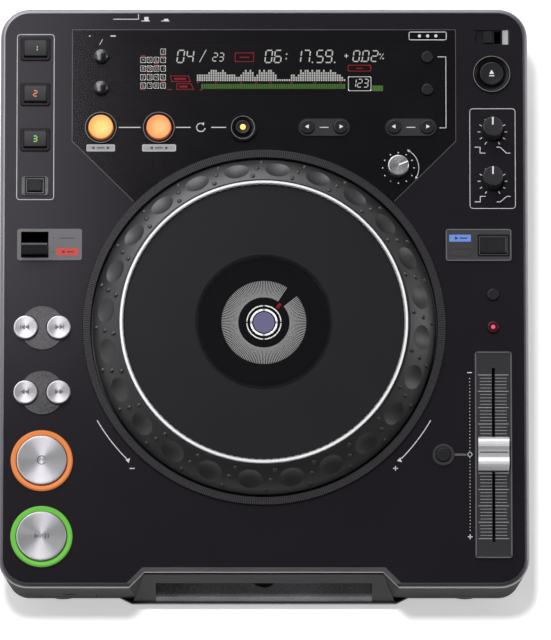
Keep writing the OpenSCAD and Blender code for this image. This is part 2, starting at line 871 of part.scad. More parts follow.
module wheel_section() {
  hub = column_r + shaft_gap;
  ring_in = ring_r - ring_w;
  seat = centre_r - centre_ledge;
  under = deck_h - deck_t;
  difference() {
    union() {
      slope_section();
      polygon([[hub, -pan_top + 0.8], [hub + hub_w, -pan_top + 0.8], [hub + hub_w, web_low],
        [seat + deck_t, web_low], [seat + deck_t, under], [skin_top, under], [skin_foot, 0],
        [skin_foot, -skirt_low], [jog_r, -skirt_low], [jog_r, slope_foot_h], [slope_top_r, slope_top_h],
        [ring_r, slope_top_h], [ring_in, deck_h], [seat, deck_h], [seat, web_low + deck_t],
        [hub, web_low + deck_t]]);
    }
    translate([ring_in - 0.05, ring_seat]) square([ring_w + 0.1, 10]);
    polygon([[slope_top_r - 12, -1], [slope_top_r - 12, under], [skin_top, under], [skin_foot, 0],
      [skin_foot, -1]]);
  }
}

module jog_wheel() {
  sphere_r = (dimple_r * dimple_r + dimple_deep * dimple_deep) / (2 * dimple_deep);
  face = slope_turn(dimple_at_r);
  color("#232225") on_panel() difference() {
    union() {
      rotate_extrude($fn = 180) wheel_section();
      for (i = [0:dimples - 1], bump = bump_at)
        rotate([0, 0, (i + 0.5) * 360 / dimples + dimple_phase + bump[1]])
          translate([bump[0] - bump_sink * sin(slope_turn(bump[0])), 0,
            slope_h(bump[0]) - bump_sink * cos(slope_turn(bump[0]))])
            sphere(bump_r, $fn = 24);
    }
    for (i = [0:dimples - 1])
      rotate([0, 0, i * 360 / dimples + dimple_phase])
        translate([dimple_at_r + (sphere_r - dimple_deep) * sin(face), 0,
          slope_h(dimple_at_r) + (sphere_r - dimple_deep) * cos(face)])
          sphere(sphere_r);
  }
}

// Tilt of the wheel's slope away from the panel's normal
function slope_turn(r) = atan((slope_h(r - 0.1) - slope_h(r + 0.1)) / 0.2);

module jog_ring() {
  ring_in = ring_r - ring_w;
  color("#e4e4e8") on_panel() difference() {
    rotate_extrude($fn = 180)
      polygon([[ring_in, ring_seat], [ring_r, ring_seat], [ring_r, ring_h - 0.5], [ring_r - 0.5, ring_h],
        [ring_in + 0.3, ring_h], [ring_in, ring_h - 0.3]]);
    for (i = [0:ring_teeth - 1])
      rotate([0, 0, i * 360 / ring_teeth]) translate([ring_in - 0.1, 0, deck_h + platter_t + 0.1])
        cylinder(r = 0.7, h = 10, $fn = 16);
  }
}

module jog_platter() {
  out = ring_r - ring_w - trim_gap;
  inside = centre_r + trim_gap;
  top = deck_h + platter_t;
  color("#1b1a1d") on_panel() rotate_extrude($fn = 180)
    polygon([[inside, deck_h], [out, deck_h], [out, top - 0.3], [out - 0.3, top], [inside + 0.3, top],
      [inside, top - 0.3]]);
}

module jog_window() {
  color("#101014", 0.7) at([0, 0], deck_h) rotate_extrude($fn = 180)
    polygon([[0, 0], [centre_r, 0], [centre_r, platter_t], [centre_r - 0.4, platter_t + 0.4],
      [0, platter_t + 0.4]]);
}

module jog_display() {
  color("#0e0e10") at([0, 0], column_top) cylinder(r = display_r, h = deck_h - column_top - 0.8);
}

module jog_bearing() {
  color("#34343a") on_panel() {
    rotate_extrude($fn = 180)
      polygon([[column_r - 5, -pan_top - pan_t], [pan_r, -pan_top - pan_t], [pan_r, -panel_t],
        [pan_r - 4, -panel_t], [pan_r - 4, -pan_top], [column_r + hub_w + 1, -pan_top],
        [column_r + hub_w + 1, -pan_top + 0.5], [column_r, -pan_top + 0.5], [column_r, column_top],
        [column_r - 5, column_top]]);
  }
}

// ---- Disc drive ----
module drive_box(inset) {
  translate([-drive_half + inset, drive_front + inset, -drive_low + inset])
    cube([2 * (drive_half - inset), drive_long - 2 * inset, drive_low - drive_top - 2 * inset]);
}

module disc_drive() {
  color("#8b8f94") on_panel() difference() {
    union() {
      difference() {
        drive_box(0);
        drive_box(drive_t);
        translate([-slot_w / 2 - 1, drive_front - 1, -slot_deep - slot_h / 2 - 1])
          cube([slot_w + 2, drive_t + 2, slot_h + 2]);
      }
      translate([0, spindle_v, -drive_low + drive_t - 0.1])
        cylinder(r = motor_r, h = drive_low - drive_t - disc_plane - 5);
      for (u = [-1, 1]) {
        translate([u * pickup_rod_u, spindle_v + motor_r + 3, -pickup_rod_deep]) rotate([-90, 0, 0])
          cylinder(r = pickup_rod_r, h = drive_front + drive_long - drive_t - spindle_v - motor_r - 2.9);
        translate([u * pickup_rod_u - 2.5, spindle_v + motor_r + 1, -drive_low + drive_t - 0.1])
          cube([5, 2.5, drive_low - drive_t - pickup_rod_deep + 2.5]);
      }
    }
    translate([0, spindle_v, -drive_low + drive_t + 1]) cylinder(r = spindle_r + shaft_gap, h = 30);
    translate([0, roller_v, -roller_deep]) rotate([0, 90, 0])
      cylinder(r = roller_shaft_r + shaft_gap, h = 2 * drive_half + 2, center = true);
  }
}

module loading_roller() {
  color("#3b3b3d") at([0, roller_v], -roller_deep) rotate([0, 90, 0]) {
    cylinder(r = roller_r, h = slot_w - 6, center = true);
    cylinder(r = roller_shaft_r, h = 2 * drive_half - 0.2, center = true);
  }
}

module disc_turntable() {
  foot = drive_t + 1.5 - drive_low;
  cone_top = turntable_cone[2] - disc_plane;
  color("#d8d8dc") at([0, spindle_v]) rotate_extrude()
    polygon([[0, foot], [spindle_r, foot], [spindle_r, -disc_plane - 4.5],
      [turntable_hub_r, -disc_plane - 4.5], [turntable_hub_r, -disc_plane - 1.5],
      [turntable_r, -disc_plane - 1.5], [turntable_r, -disc_plane], [turntable_cone[0], -disc_plane],
      [turntable_cone[1], cone_top], [0, cone_top]]);
}

module laser_pickup() {
  color("#30343a") at([0, pickup_v]) difference() {
    union() {
      translate([-pickup_size[0] / 2, -pickup_size[1] / 2, -pickup_rod_deep - 3])
        cube(pickup_size);
      translate([0, -4, -pickup_rod_deep]) cylinder(r = 3, h = pickup_rod_deep - disc_plane - 1.5);
    }
    for (u = [-1, 1])
      translate([u * pickup_rod_u, 0, -pickup_rod_deep]) rotate([90, 0, 0])
        cylinder(r = pickup_rod_r + shaft_gap, h = 60, center = true);
  }
}

// ---- Electronics on the floor of the case ----
module main_boards() {
  color("#20603a") {
    translate([main_board[0], main_board[1], board_post_z]) {
      cube([main_board[2], main_board[3], board_t]);
      for (chip = board_chips)
        translate([chip[0], chip[1], board_t]) cube([chip[2], chip[3], chip[4]]);
    }
    card_reader();
  }
}

// Card socket behind the slot of the card bay
module card_reader() {
  on_front(card_u, card_deep)
    translate([-card_slot_w / 2 - 2, card_bay_deep + pocket_back, card_door_h / 2 - 1.5])
      difference() {
        cube([card_slot_w + 4, 26, card_slot_h + 3]);
        translate([2, -1, 1.5]) cube([card_slot_w, 24, card_slot_h]);
      }
}

module power_supply() {
  color("#b89a4a") translate([power_board[0], power_board[1], board_post_z]) {
    cube([power_board[2], power_board[3], board_t]);
    for (block = power_blocks)
      translate([block[0], block[1], board_t]) cube([block[2], block[3], block[4]]);
    for (can = power_cans)
      translate([can[0], can[1], board_t]) cylinder(r = can[2], h = can[3]);
  }
}

// ---- Rear connectors ----
module rear_sockets() {
  face = rear_wall - socket_sink;
  color("#1a1a1c") translate([0, jog_y, 0]) difference() {
    union() {
      translate([trim_gap - socket_plate[0] / 2, face - 3, socket_z - socket_plate[1] / 2 + trim_gap])
        cube([socket_plate[0] - 2 * trim_gap, 3, socket_plate[1] - 2 * trim_gap]);
      for (x = phono_x)
        translate([x, face, socket_z]) rotate([-90, 0, 0]) cylinder(r = 6, h = phono_base + socket_sink - 0.5);
      translate([jack_x, face, socket_z]) rotate([-90, 0, 0]) cylinder(r = 4, h = socket_sink + 1.5);
      translate([jack_x - 5, face - 15, socket_z - 5]) cube([10, 13, 10]);
      translate([inlet_x - inlet[0] / 2 - 2, face - inlet[2] - 2, socket_z - inlet[1] / 2 - 2])
        cube([inlet[0] + 4, inlet[2] + 2, inlet[1] + 4]);
    }
    translate([inlet_x - inlet[0] / 2, face - inlet[2], socket_z - inlet[1] / 2])
      cube([inlet[0], inlet[2] + 5, inlet[1]]);
    translate([power_at[0] - power_cap / 2 - key_gap, face - 5, power_at[1] - power_cap / 2 - key_gap])
      cube([power_cap + 2 * key_gap, 10, power_cap + 2 * key_gap]);
    translate([jack_x, face - 14, socket_z]) rotate([-90, 0, 0]) cylinder(r = jack_r, h = 30);
    for (x = phono_x)
      translate([x, face - 4, socket_z]) rotate([-90, 0, 0]) cylinder(r = phono_hole_r, h = 20);
    for (place = socket_screws)
      translate([place[0], face - 4, place[1]]) rotate([-90, 0, 0]) cylinder(r = screw_hole, h = 6);
  }
}

// Sleeves of the phono sockets and the pins of the mains inlet
module phono_sockets() {
  face = rear_wall - socket_sink;
  color("#d8c98a") translate([0, jog_y, 0]) {
    for (x = phono_x)
      translate([x, face, socket_z]) rotate([-90, 0, 0]) difference() {
        union() {
          translate([0, 0, -3]) cylinder(r = phono_hole_r - 0.05, h = phono_base + socket_sink + 3);
          translate([0, 0, phono_base + socket_sink - 0.5]) cylinder(r = phono_r, h = phono_long + 0.5);
        }
        translate([0, 0, 2]) cylinder(r = 1.6, h = 40);
      }
    for (side = [-1, 1])
      translate([inlet_x + side * inlet_pin_half, face - inlet[2], socket_z]) rotate([-90, 0, 0])
        cylinder(r = 1.15, h = inlet_pin_long);
  }
}

module power_key() {
  color("#2a2a2d") translate([power_at[0], jog_y + rear_wall, power_at[1]]) {
    translate([-power_cap / 2, -14, -power_cap / 2]) cube([power_cap, 14 + power_out, power_cap]);
    translate([-power_cap / 2 - 1, -14, -power_cap / 2 - 1])
      cube([power_cap + 2, 11 - socket_sink - run_gap, power_cap + 2]);
  }
}

// ---- Plates, bezels and light rings ----
module bar_plate(place, size, height, corner = 1.5) {
  at(place) linear_extrude(height) rounded(size[0], size[1], corner);
}

// A ring that dips towards its key
module dished_ring(place, out, inside, height) {
  at(place) rotate_extrude()
    polygon([[inside, 0], [out, 0], [out, height - 0.5], [out - 0.5, height], [out - 1.2, height],
      [inside, 0.5]]);
}

module switch_plates() {
  color("#77767a") difference() {
    union() {
      bar_plate(direction_at, direction_plate, plate_t);
      bar_plate(mode_plate_at, mode_plate, plate_t);
      bar_plate(fader_at, fader_plate, plate_t);
      for (place = [track_at, search_at])
        at(place) cylinder(r = search_disc_r, h = plate_t);
    }
    on_panel() translate([0, 0, -1]) linear_extrude(plate_t + 2) {
      box_hole(lever_at, lever_window);
      box_hole(mode_at, mode_cap + 2 * [key_gap, key_gap]);
      box_hole(fader_at, [fader_slot_w, fader_slot_long]);
      for (place = [track_at, search_at], side = [-1, 1])
        hole(place + [side * search_half, 0], search_r + 0.8);
    }
  }
}

module key_bezels() {
  color("#161517") {
    for (v = hot_cue_v)
      bar_bezel([left_u, v], cue_bezel, cue_cap);
    bar_bezel(record_at, record_bezel, record_cap);
    dished_ring(loop_in_at, loop_bezel_r, loop_r + key_gap, 1.6);
    dished_ring(loop_out_at, loop_bezel_r, loop_r + key_gap, 1.6);
    dished_ring(loop_exit_at, exit_bezel_r, exit_r + key_gap, 1.8);
    dished_ring(eject_at, eject_bezel_r, eject_r + key_gap, 1.8);
    dished_ring(reset_at, reset_bezel_r, reset_r + key_gap, 1.4);
    for (place = [folder_at, call_at])
      difference() {
        bar_plate(place, pill_plate, plate_t, pill_plate[1] / 2 - 0.01);
        for (side = [-1, 1])
          at(place + [side * pill_half, 0], -1) cylinder(r = pill_key_r + key_gap, h = 5);
      }
  }
}

module bar_bezel(place, size, cap) {
  difference() {
    bar_plate(place, size, plate_t + 0.4);
    at(place, -1) linear_extrude(5) square(cap + 2 * [key_gap, key_gap], center = true);
  }
}

module light_rings() {
  color("#e07b3c") for (place = [cue_at, play_at])
    at(place) rotate_extrude()
      polygon([[light_in_r, 0], [light_in_r + light_w, 0], [light_in_r + light_w, light_h - 0.8],
        [light_in_r + light_w - 0.8, light_h], [light_in_r + 0.5, light_h], [light_in_r, light_h - 0.4]]);
}

// ---- Keys ----
module key_section(r, h) {
  polygon([[0, -stem_low], [r * 0.5, -stem_low], [r * 0.5, -flange_top - flange_t],
    [r + flange_out, -flange_top - flange_t], [r + flange_out, -flange_top], [r, -flange_top],
    [r, h - key_edge], [r - key_edge, h], [0, h]]);
  translate([r - key_edge, h - key_edge]) circle(key_edge);
}

module round_key(place, r, h) {
  at(place) rotate_extrude() key_section(r, h);
}

// A round key with a shallow dish for the finger
module dished_key(place, r, h, deep) {
  ball = (r * r * 0.8 + deep * deep) / (2 * deep);
  difference() {
    round_key(place, r, h);
    at(place, h + ball - deep) sphere(ball);
  }
}

module bar_section(half, h) {
  polygon([[-half, -flange_top], [half, -flange_top], [half, h - key_edge], [half - key_edge, h],
    [key_edge - half, h], [-half, h - key_edge]]);
}

module bar_key(place, size, h) {
  at(place) {
    intersection() {
      translate([0, 0, -flange_top]) linear_extrude(h + flange_top) rounded(size[0], size[1], 1);
      translate([0, size[1] / 2, 0]) rotate([90, 0, 0]) linear_extrude(size[1]) bar_section(size[0] / 2, h);
      translate([-size[0] / 2, 0, 0]) rotate([90, 0, 90]) linear_extrude(size[0]) bar_section(size[1] / 2, h);
    }
    translate([-size[0] / 2 - flange_out, -size[1] / 2 - flange_out, -flange_top - flange_t])
      cube([size[0] + 2 * flange_out, size[1] + 2 * flange_out, flange_t]);
    translate([-switch_half, -switch_half, -stem_low])
      cube([2 * switch_half, 2 * switch_half, stem_low - flange_top]);
  }
}

module hot_cue_key(i) {
  color("#c9c7cc") bar_key([left_u, hot_cue_v[i]], cue_cap, key_h + 0.4);
}

module hot_cue_key_1() { hot_cue_key(0); }
module hot_cue_key_2() { hot_cue_key(1); }
module hot_cue_key_3() { hot_cue_key(2); }
module record_mode_key() { color("#8c8b90") bar_key(record_at, record_cap, key_h); }
module jog_mode_key() { color("#4a484c") bar_key(mode_at, mode_cap, key_h); }
module time_mode_key() { color("#1b1a1c") round_key(time_at, time_r, key_h); }
module text_mode_key() { color("#1b1a1c") round_key(text_at, time_r, key_h); }
module memory_key() { color("#1b1a1c") round_key(memory_at, small_r, small_key_h); }
module delete_key() { color("#1b1a1c") round_key(delete_at, small_r, small_key_h); }
module tempo_range_key() { color("#1b1a1c") round_key(range_at, small_r, small_key_h); }
module master_tempo_key() { color("#5a1418") round_key(master_at, small_r, small_key_h); }
module tempo_reset_key() { color("#1b1a1c") round_key(reset_at, reset_r, small_key_h); }
module loop_in_key() { color("#f3b14a") dished_key(loop_in_at, loop_r, key_h + 0.6, 0.5); }
module loop_out_key() { color("#e8934a") dished_key(loop_out_at, loop_r, key_h + 0.6, 0.5); }
module loop_exit_key() { color("#2a1c14") dished_key(loop_exit_at, exit_r, key_h, 0.4); }
module eject_key() { color("#1b1a1c") dished_key(eject_at, eject_r, key_h, 0.4); }
module folder_key(side) {
  color("#1b1a1c") round_key(folder_at + [side * pill_half, 0], pill_key_r, key_h);
}
module call_key(side) {
  color("#1b1a1c") round_key(call_at + [side * pill_half, 0], pill_key_r, key_h);
}
module folder_back_key() { folder_key(-1); }
module folder_next_key() { folder_key(1); }
module call_back_key() { call_key(-1); }
module call_next_key() { call_key(1); }
module travel_key(place, side) {
  color("#d4d4d8") dished_key(place + [side * search_half, 0], search_r, key_h + 0.4, 0.35);
}
module track_back_key() { travel_key(track_at, -1); }
module track_next_key() { travel_key(track_at, 1); }
module search_back_key() { travel_key(search_at, -1); }
module search_next_key() { travel_key(search_at, 1); }
module cue_key() { color("#b9b8bd") dished_key(cue_at, play_r, play_h, 0.5); }
module play_key() { color("#b9b8bd") dished_key(play_at, play_r, play_h, 0.5); }

// ---- Lever, slider, fader and knobs ----
module direction_lever() {
  half = lever_size[1] / 2;
  top = lever_pin_deep + lever_size[2];
  color("#19181a") at(lever_at, -lever_pin_deep) rotate([lever_lean, 0, 0]) {
    rotate([90, 0, 90]) linear_extrude(lever_size[0], center = true)
      polygon([[-half, -2], [half, -2], [half, top - 1], [half - 1, top], [1 - half, top - 2],
        [-half, top - 4]]);
    rotate([0, 90, 0]) cylinder(r = lever_pin_r, h = lever_size[0] + 6.4, center = true);
  }
}

module lock_slider() {
  color("#222124") at(lock_at + [-lock_travel / 2, 0]) {
    translate([-lock_size[0] / 2, -lock_size[1] / 2, -flange_top])
      cube([lock_size[0], lock_size[1], flange_top + 0.4]);
    for (i = [-2:2])
      translate([i * 1.1 - 0.25, -lock_size[1] / 2, 0.4]) cube([0.5, lock_size[1], 0.4]);
    translate([-lock_size[0] / 2 - 1, -lock_size[1] / 2 - 1, -flange_top - flange_t])
      cube([lock_size[0] + 2, lock_size[1] + 2, flange_t]);
  }
}

module fader_cap_section() {
  d = fader_cap[1] / 2;
  low = plate_t + run_gap;
  top = fader_cap[2];
  polygon([[-d, low], [d, low], [d, low + 3.2], [d - 1.6, top - 3], [d - 2.6, top - 0.8], [d - 4, top],
    [d - 5.6, top - 0.4], [1.6, top - 3.2], [-1.6, top - 3.2], [5.6 - d, top - 0.4], [4 - d, top],
    [2.6 - d, top - 0.8], [1.6 - d, top - 3], [-d, low + 3.2]]);
}

module tempo_fader() {
  color("#c9c9ce") at(fader_at) {
    rotate([90, 0, 90]) linear_extrude(fader_cap[0], center = true) fader_cap_section();
    translate([-fader_stem[0] / 2, -fader_stem[1] / 2, -board_top - 1.7])
      cube([fader_stem[0], fader_stem[1], board_top + 5]);
  }
}

module knob(place, r, low, high, flutes, flute_r, turn) {
  at(place) {
    difference() {
      rotate_extrude() {
        polygon([[0, low], [r, low], [r, high - 0.8], [r - 0.8, high], [0, high]]);
        translate([r - 0.8, high - 0.8]) circle(0.8);
      }
      for (i = [0:flutes - 1])
        rotate([0, 0, turn + (i + 0.5) * 360 / flutes]) translate([r + flute_r * 0.45, 0, low - 1])
          cylinder(r = flute_r, h = high, $fn = 24);
      rotate([0, 0, turn]) translate([r * 0.25, -0.5, high - 0.5]) cube([r, 1, 2]);
    }
    translate([0, 0, -shaft_low]) cylinder(r = shaft_r, h = shaft_low + low + 1);
  }
}

module jog_adjust_knob() {
  color("#c4c4c8") knob(adjust_at, adjust_r, run_gap, adjust_h, 16, 0.8, adjust_turn);
}
module brake_knob() { color("#1a191b") knob(brake_at, knob_r, run_gap, knob_h, 24, 0.5, 90); }
module start_knob() { color("#1a191b") knob(start_at, knob_r, run_gap, knob_h, 24, 0.5, 90); }

lower_case();
upper_case();
control_panel();
display_window();
control_boards();
slot_moulding();
feet();
jog_trim_ring();
jog_wheel();
jog_ring();
jog_platter();
jog_window();
jog_display();
jog_bearing();
disc_drive();
loading_roller();
disc_turntable();
laser_pickup();
main_boards();
power_supply();
rear_sockets();
phono_sockets();
switch_plates();
key_bezels();
light_rings();
case_screws();
direction_lever();
lock_slider();
tempo_fader();
card_door();
power_key();
jog_adjust_knob();
brake_knob();
start_knob();
hot_cue_key_1();
hot_cue_key_2();
hot_cue_key_3();
record_mode_key();
time_mode_key();
text_mode_key();
loop_in_key();
loop_out_key();
loop_exit_key();
folder_back_key();
folder_next_key();
call_back_key();
call_next_key();
memory_key();
delete_key();
eject_key();
jog_mode_key();
tempo_range_key();
master_tempo_key();
tempo_reset_key();
track_back_key();
track_next_key();
search_back_key();
search_next_key();
cue_key();
play_key();
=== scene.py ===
"""Looks of a tabletop disc player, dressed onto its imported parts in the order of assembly."""
import math

import bpy
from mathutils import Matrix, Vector


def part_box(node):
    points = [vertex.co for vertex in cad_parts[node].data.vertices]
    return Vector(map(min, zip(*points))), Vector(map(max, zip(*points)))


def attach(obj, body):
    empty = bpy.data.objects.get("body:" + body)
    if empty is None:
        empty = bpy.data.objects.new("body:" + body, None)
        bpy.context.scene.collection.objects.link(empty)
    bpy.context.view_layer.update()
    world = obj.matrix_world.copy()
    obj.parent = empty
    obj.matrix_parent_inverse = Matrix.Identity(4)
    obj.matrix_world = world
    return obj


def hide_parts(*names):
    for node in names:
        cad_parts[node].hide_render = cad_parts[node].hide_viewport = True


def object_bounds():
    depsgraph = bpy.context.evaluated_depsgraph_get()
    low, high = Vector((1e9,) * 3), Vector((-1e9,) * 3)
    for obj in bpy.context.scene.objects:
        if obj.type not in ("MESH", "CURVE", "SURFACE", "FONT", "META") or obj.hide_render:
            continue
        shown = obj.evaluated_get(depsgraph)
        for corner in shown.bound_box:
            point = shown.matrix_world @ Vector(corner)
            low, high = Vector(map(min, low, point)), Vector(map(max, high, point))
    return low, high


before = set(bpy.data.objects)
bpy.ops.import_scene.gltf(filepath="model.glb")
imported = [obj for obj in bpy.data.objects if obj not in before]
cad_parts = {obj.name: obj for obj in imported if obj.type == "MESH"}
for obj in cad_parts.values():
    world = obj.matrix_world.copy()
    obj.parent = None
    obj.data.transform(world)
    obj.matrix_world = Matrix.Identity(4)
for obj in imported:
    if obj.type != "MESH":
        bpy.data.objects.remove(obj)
cad_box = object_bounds()

# ---- Camera ----
# A long lens, seven metres away, looks down on the deck at 74 degrees from the front.
# The view is centred a little right of and above the middle of the jog wheel, which lies
# in the control panel. The panel rises to the rear by its slope.
slope = math.radians(4)
jog_centre = Vector((0, -0.02536, 0.080961))
view_turn = math.radians(74)
view_away = 7.0
view_high = 0.3870
view_right = Vector((1, 0, 0))
view_up = Vector((0, math.sin(view_turn), math.cos(view_turn)))
view_out = Vector((0, -math.cos(view_turn), math.sin(view_turn)))
aim = jog_centre + 0.0070 * view_right + 0.0044 * view_up
bpy.ops.object.select_all(action="DESELECT")
bpy.ops.object.camera_add(location=aim + view_away * view_out,
                          rotation=(math.pi / 2 - view_turn, 0, 0))
camera = bpy.context.object
camera.data.lens = camera.data.sensor_width / 2 * view_away / (view_high / 2)
camera.data.clip_end = 50
bpy.context.scene.camera = camera

# ---- Studio ----
# The deck stands on a plain white floor under one high lamp, which casts its short shadow.
# Four more lights are only mirrored in its gloss: from the rear left, close over the rear
# left rim, from far behind and from the right. The room is dim overhead and in front.
bpy.ops.mesh.primitive_plane_add(size=12)
floor = bpy.context.object
floor.name = "studio_floor"
floor_paint = bpy.data.materials.new("white floor")
floor_paint.use_nodes = True
floor_shader = floor_paint.node_tree.nodes["Principled BSDF"]
floor_shader.inputs["Base Color"].default_value = (0.9, 0.9, 0.9, 1)
floor_shader.inputs["Roughness"].default_value = 0.9
floor_shader.inputs["Specular IOR Level"].default_value = 0.0
floor_shader.inputs["Emission Color"].default_value = (1, 1, 1, 1)
floor_shader.inputs["Emission Strength"].default_value = 0.50
floor.data.materials.append(floor_paint)


def hang_light(name, place, size, power, colour=(1, 1, 1), long=0.0, target=aim, mirrored=True):
    """An area light, square or as long as given. A mirrored one shows in gloss alone, and
    the other kind lights and casts shadows but isn't seen in the gloss."""
    bpy.ops.object.light_add(type="AREA", location=place)
    light = bpy.context.object
    light.name = name
    light.rotation_euler = (target - Vector(place)).to_track_quat("-Z", "Y").to_euler()
    light.data.size = size
    if long:
        light.data.shape = "RECTANGLE"
        light.data.size_y = long
    light.data.energy = power
    light.data.color = colour
    light.visible_glossy = mirrored
    light.visible_diffuse = not mirrored


hang_light("top_light", (-0.16, -0.04, 2.8), 0.35, 80, mirrored=False)
hang_light("sheen_light", (-0.48, 1.25, 1.2), 1.6, 19, (0.97, 0.95, 1.0))
hang_light("edge_light", (-0.19, 0.15, 0.36), 0.14, 0.48, (0.97, 0.90, 1.0), long=0.3,
           target=Vector((-0.19, 0.15, 0.0)))
hang_light("rear_strip", (-0.5, 2.1, 0.95), 2.2, 5, long=0.5)
hang_light("right_strip", (1.7, 0.3, 0.7), 0.5, 6, long=1.6)

world = bpy.data.worlds.new("studio room")
world.use_nodes = True
room = world.node_tree
room_way = room.nodes.new("ShaderNodeSeparateXYZ")
room.links.new(room.nodes.new("ShaderNodeTexCoord").outputs["Generated"], room_way.inputs[0])
# the way in which the room's light falls, where the fall begins and ends, and what is left
room_falls = (("Z", 0.45, 0.92, 0.05), ("Y", 0.0, -0.7, 0.08), ("X", 0.0, 0.8, 0.45))
strength = None
for way, begin, end, low in room_falls:
    fall = room.nodes.new("ShaderNodeMapRange")
    fall.interpolation_type = "SMOOTHSTEP"
    fall.inputs["From Min"].default_value = begin
    fall.inputs["From Max"].default_value = end
    fall.inputs["To Min"].default_value = 1.0
    fall.inputs["To Max"].default_value = low
    room.links.new(room_way.outputs[way], fall.inputs["Value"])
    if strength is None:
        strength = fall.outputs[0]
        continue
    dimmed = room.nodes.new("ShaderNodeMath")
    dimmed.operation = "MULTIPLY"
    room.links.new(strength, dimmed.inputs[0])
    room.links.new(fall.outputs[0], dimmed.inputs[1])
    strength = dimmed.outputs[0]
room.links.new(strength, room.nodes["Background"].inputs["Strength"])
room.nodes["Background"].inputs["Color"].default_value = (0.97, 0.97, 1.0, 1)
bpy.context.scene.world = world
bpy.context.scene.view_settings.view_transform = "Standard"

# ---- Lower case, feet and screws ----
# The lower case is a satin black pan with rounded corners and a floor with cooling slots.
# Four round rubber feet are pressed in, and black zinc screws hold the upper case.


def new_group(name, inputs, outputs):
    """An empty shader group with its sockets, and its two end nodes."""
    group = bpy.data.node_groups.new(name, "ShaderNodeTree")
    for label, kind, value in inputs:
        socket = group.interface.new_socket(label, in_out="INPUT", socket_type=kind)
        socket.default_value = value
    for label, kind in outputs:
        group.interface.new_socket(label, in_out="OUTPUT", socket_type=kind)
    return group, group.nodes.new("NodeGroupInput"), group.nodes.new("NodeGroupOutput")


def add_math(tree, operation, first, second):
    """A math node on two inputs, each a number or another node's output."""
    node = tree.nodes.new("ShaderNodeMath")
    node.operation = operation
    for socket, value in zip(node.inputs, (first, second)):
        if isinstance(value, (int, float)):
            socket.default_value = value
        else:
            tree.links.new(value, socket)
    return node.outputs[0]


def build_grain():
    """Fine grain of a moulded or sprayed surface, with faint clouds in its colour and gloss."""
    number = "NodeSocketFloat"
    group, given, made = new_group(
        "moulded_grain",
        [("Colour", "NodeSocketColor", (0.1, 0.1, 0.1, 1)), ("Shade", number, 0.1),
         ("Roughness", number, 0.5), ("Spread", number, 0.1), ("Scale", number, 900.0)],
        [("Colour", "NodeSocketColor"), ("Roughness", number), ("Height", number)])
    link = group.links.new
    place = group.nodes.new("ShaderNodeTexCoord").outputs["Object"]
    speck = group.nodes.new("ShaderNodeTexNoise")
    speck.inputs["Detail"].default_value = 2
    cloud = group.nodes.new("ShaderNodeTexNoise")
    cloud.inputs["Scale"].default_value = 22
    cloud.inputs["Detail"].default_value = 3
    link(place, speck.inputs["Vector"])
    link(place, cloud.inputs["Vector"])
    link(given.outputs["Scale"], speck.inputs["Scale"])
    both = add_math(group, "ADD", speck.outputs[0], cloud.outputs[0])
    swing = add_math(group, "SUBTRACT", both, 1.0)
    shaded = add_math(group, "MULTIPLY", swing, given.outputs["Shade"])
    tint = group.nodes.new("ShaderNodeHueSaturation")
    link(given.outputs["Colour"], tint.inputs["Color"])
    link(add_math(group, "ADD", shaded, 1.0), tint.inputs["Value"])
    spread = add_math(group, "MULTIPLY", swing, given.outputs["Spread"])
    link(tint.outputs["Color"], made.inputs["Colour"])
    link(add_math(group, "ADD", spread, given.outputs["Roughness"]), made.inputs["Roughness"])
    link(speck.outputs[0], made.inputs["Height"])
    return group


moulded_grain = build_grain()


def finish(name, colour, roughness, metallic=0.0, scale=900.0, depth=0.03, shade=0.12,
           spread=0.12, glow=0.0, alpha=1.0, specular=0.5):
    """A moulded, sprayed or cast finish. depth is the height of its grain in millimetres."""
    material = bpy.data.materials.new(name)
    material.use_nodes = True
    tree = material.node_tree
    shader = tree.nodes["Principled BSDF"]
    grain = tree.nodes.new("ShaderNodeGroup")
    grain.node_tree = moulded_grain
    grain.name = "grain"
    for label, value in (("Colour", (*colour, 1)), ("Shade", shade), ("Roughness", roughness),
                         ("Spread", spread), ("Scale", scale)):
        grain.inputs[label].default_value = value
    bump = tree.nodes.new("ShaderNodeBump")
    bump.inputs["Distance"].default_value = depth / 1000
    tree.links.new(grain.outputs["Height"], bump.inputs["Height"])
    tree.links.new(grain.outputs["Colour"], shader.inputs["Base Color"])
    tree.links.new(grain.outputs["Roughness"], shader.inputs["Roughness"])
    tree.links.new(bump.outputs["Normal"], shader.inputs["Normal"])
    shader.inputs["Metallic"].default_value = metallic
    shader.inputs["Alpha"].default_value = alpha
    shader.inputs["Specular IOR Level"].default_value = specular
    if glow:
        tree.links.new(grain.outputs["Colour"], shader.inputs["Emission Color"])
        shader.inputs["Emission Strength"].default_value = glow
    return material


def paint(material, *names):
    """Gives CAD nodes or pieces their finish."""
    for name in names:
        mesh = bpy.data.objects[name].data
        mesh.materials.clear()
        mesh.materials.append(material)


paint(finish("satin black case", (0.030, 0.029, 0.031), 0.5, scale=1400, specular=0.2),
      "lower_case")
paint(finish("foot rubber", (0.018, 0.018, 0.019), 0.85, scale=700, depth=0.08, specular=0.2),
      "feet")
paint(finish("black zinc screw", (0.12, 0.12, 0.125), 0.35, metallic=1.0, scale=2500, depth=0.01),
      "case_screws")

# ---- Upper case ----
# One moulding in dark metallic paint. Its rounded rim stands a hair above the panel
# and is polished brighter than the walls.


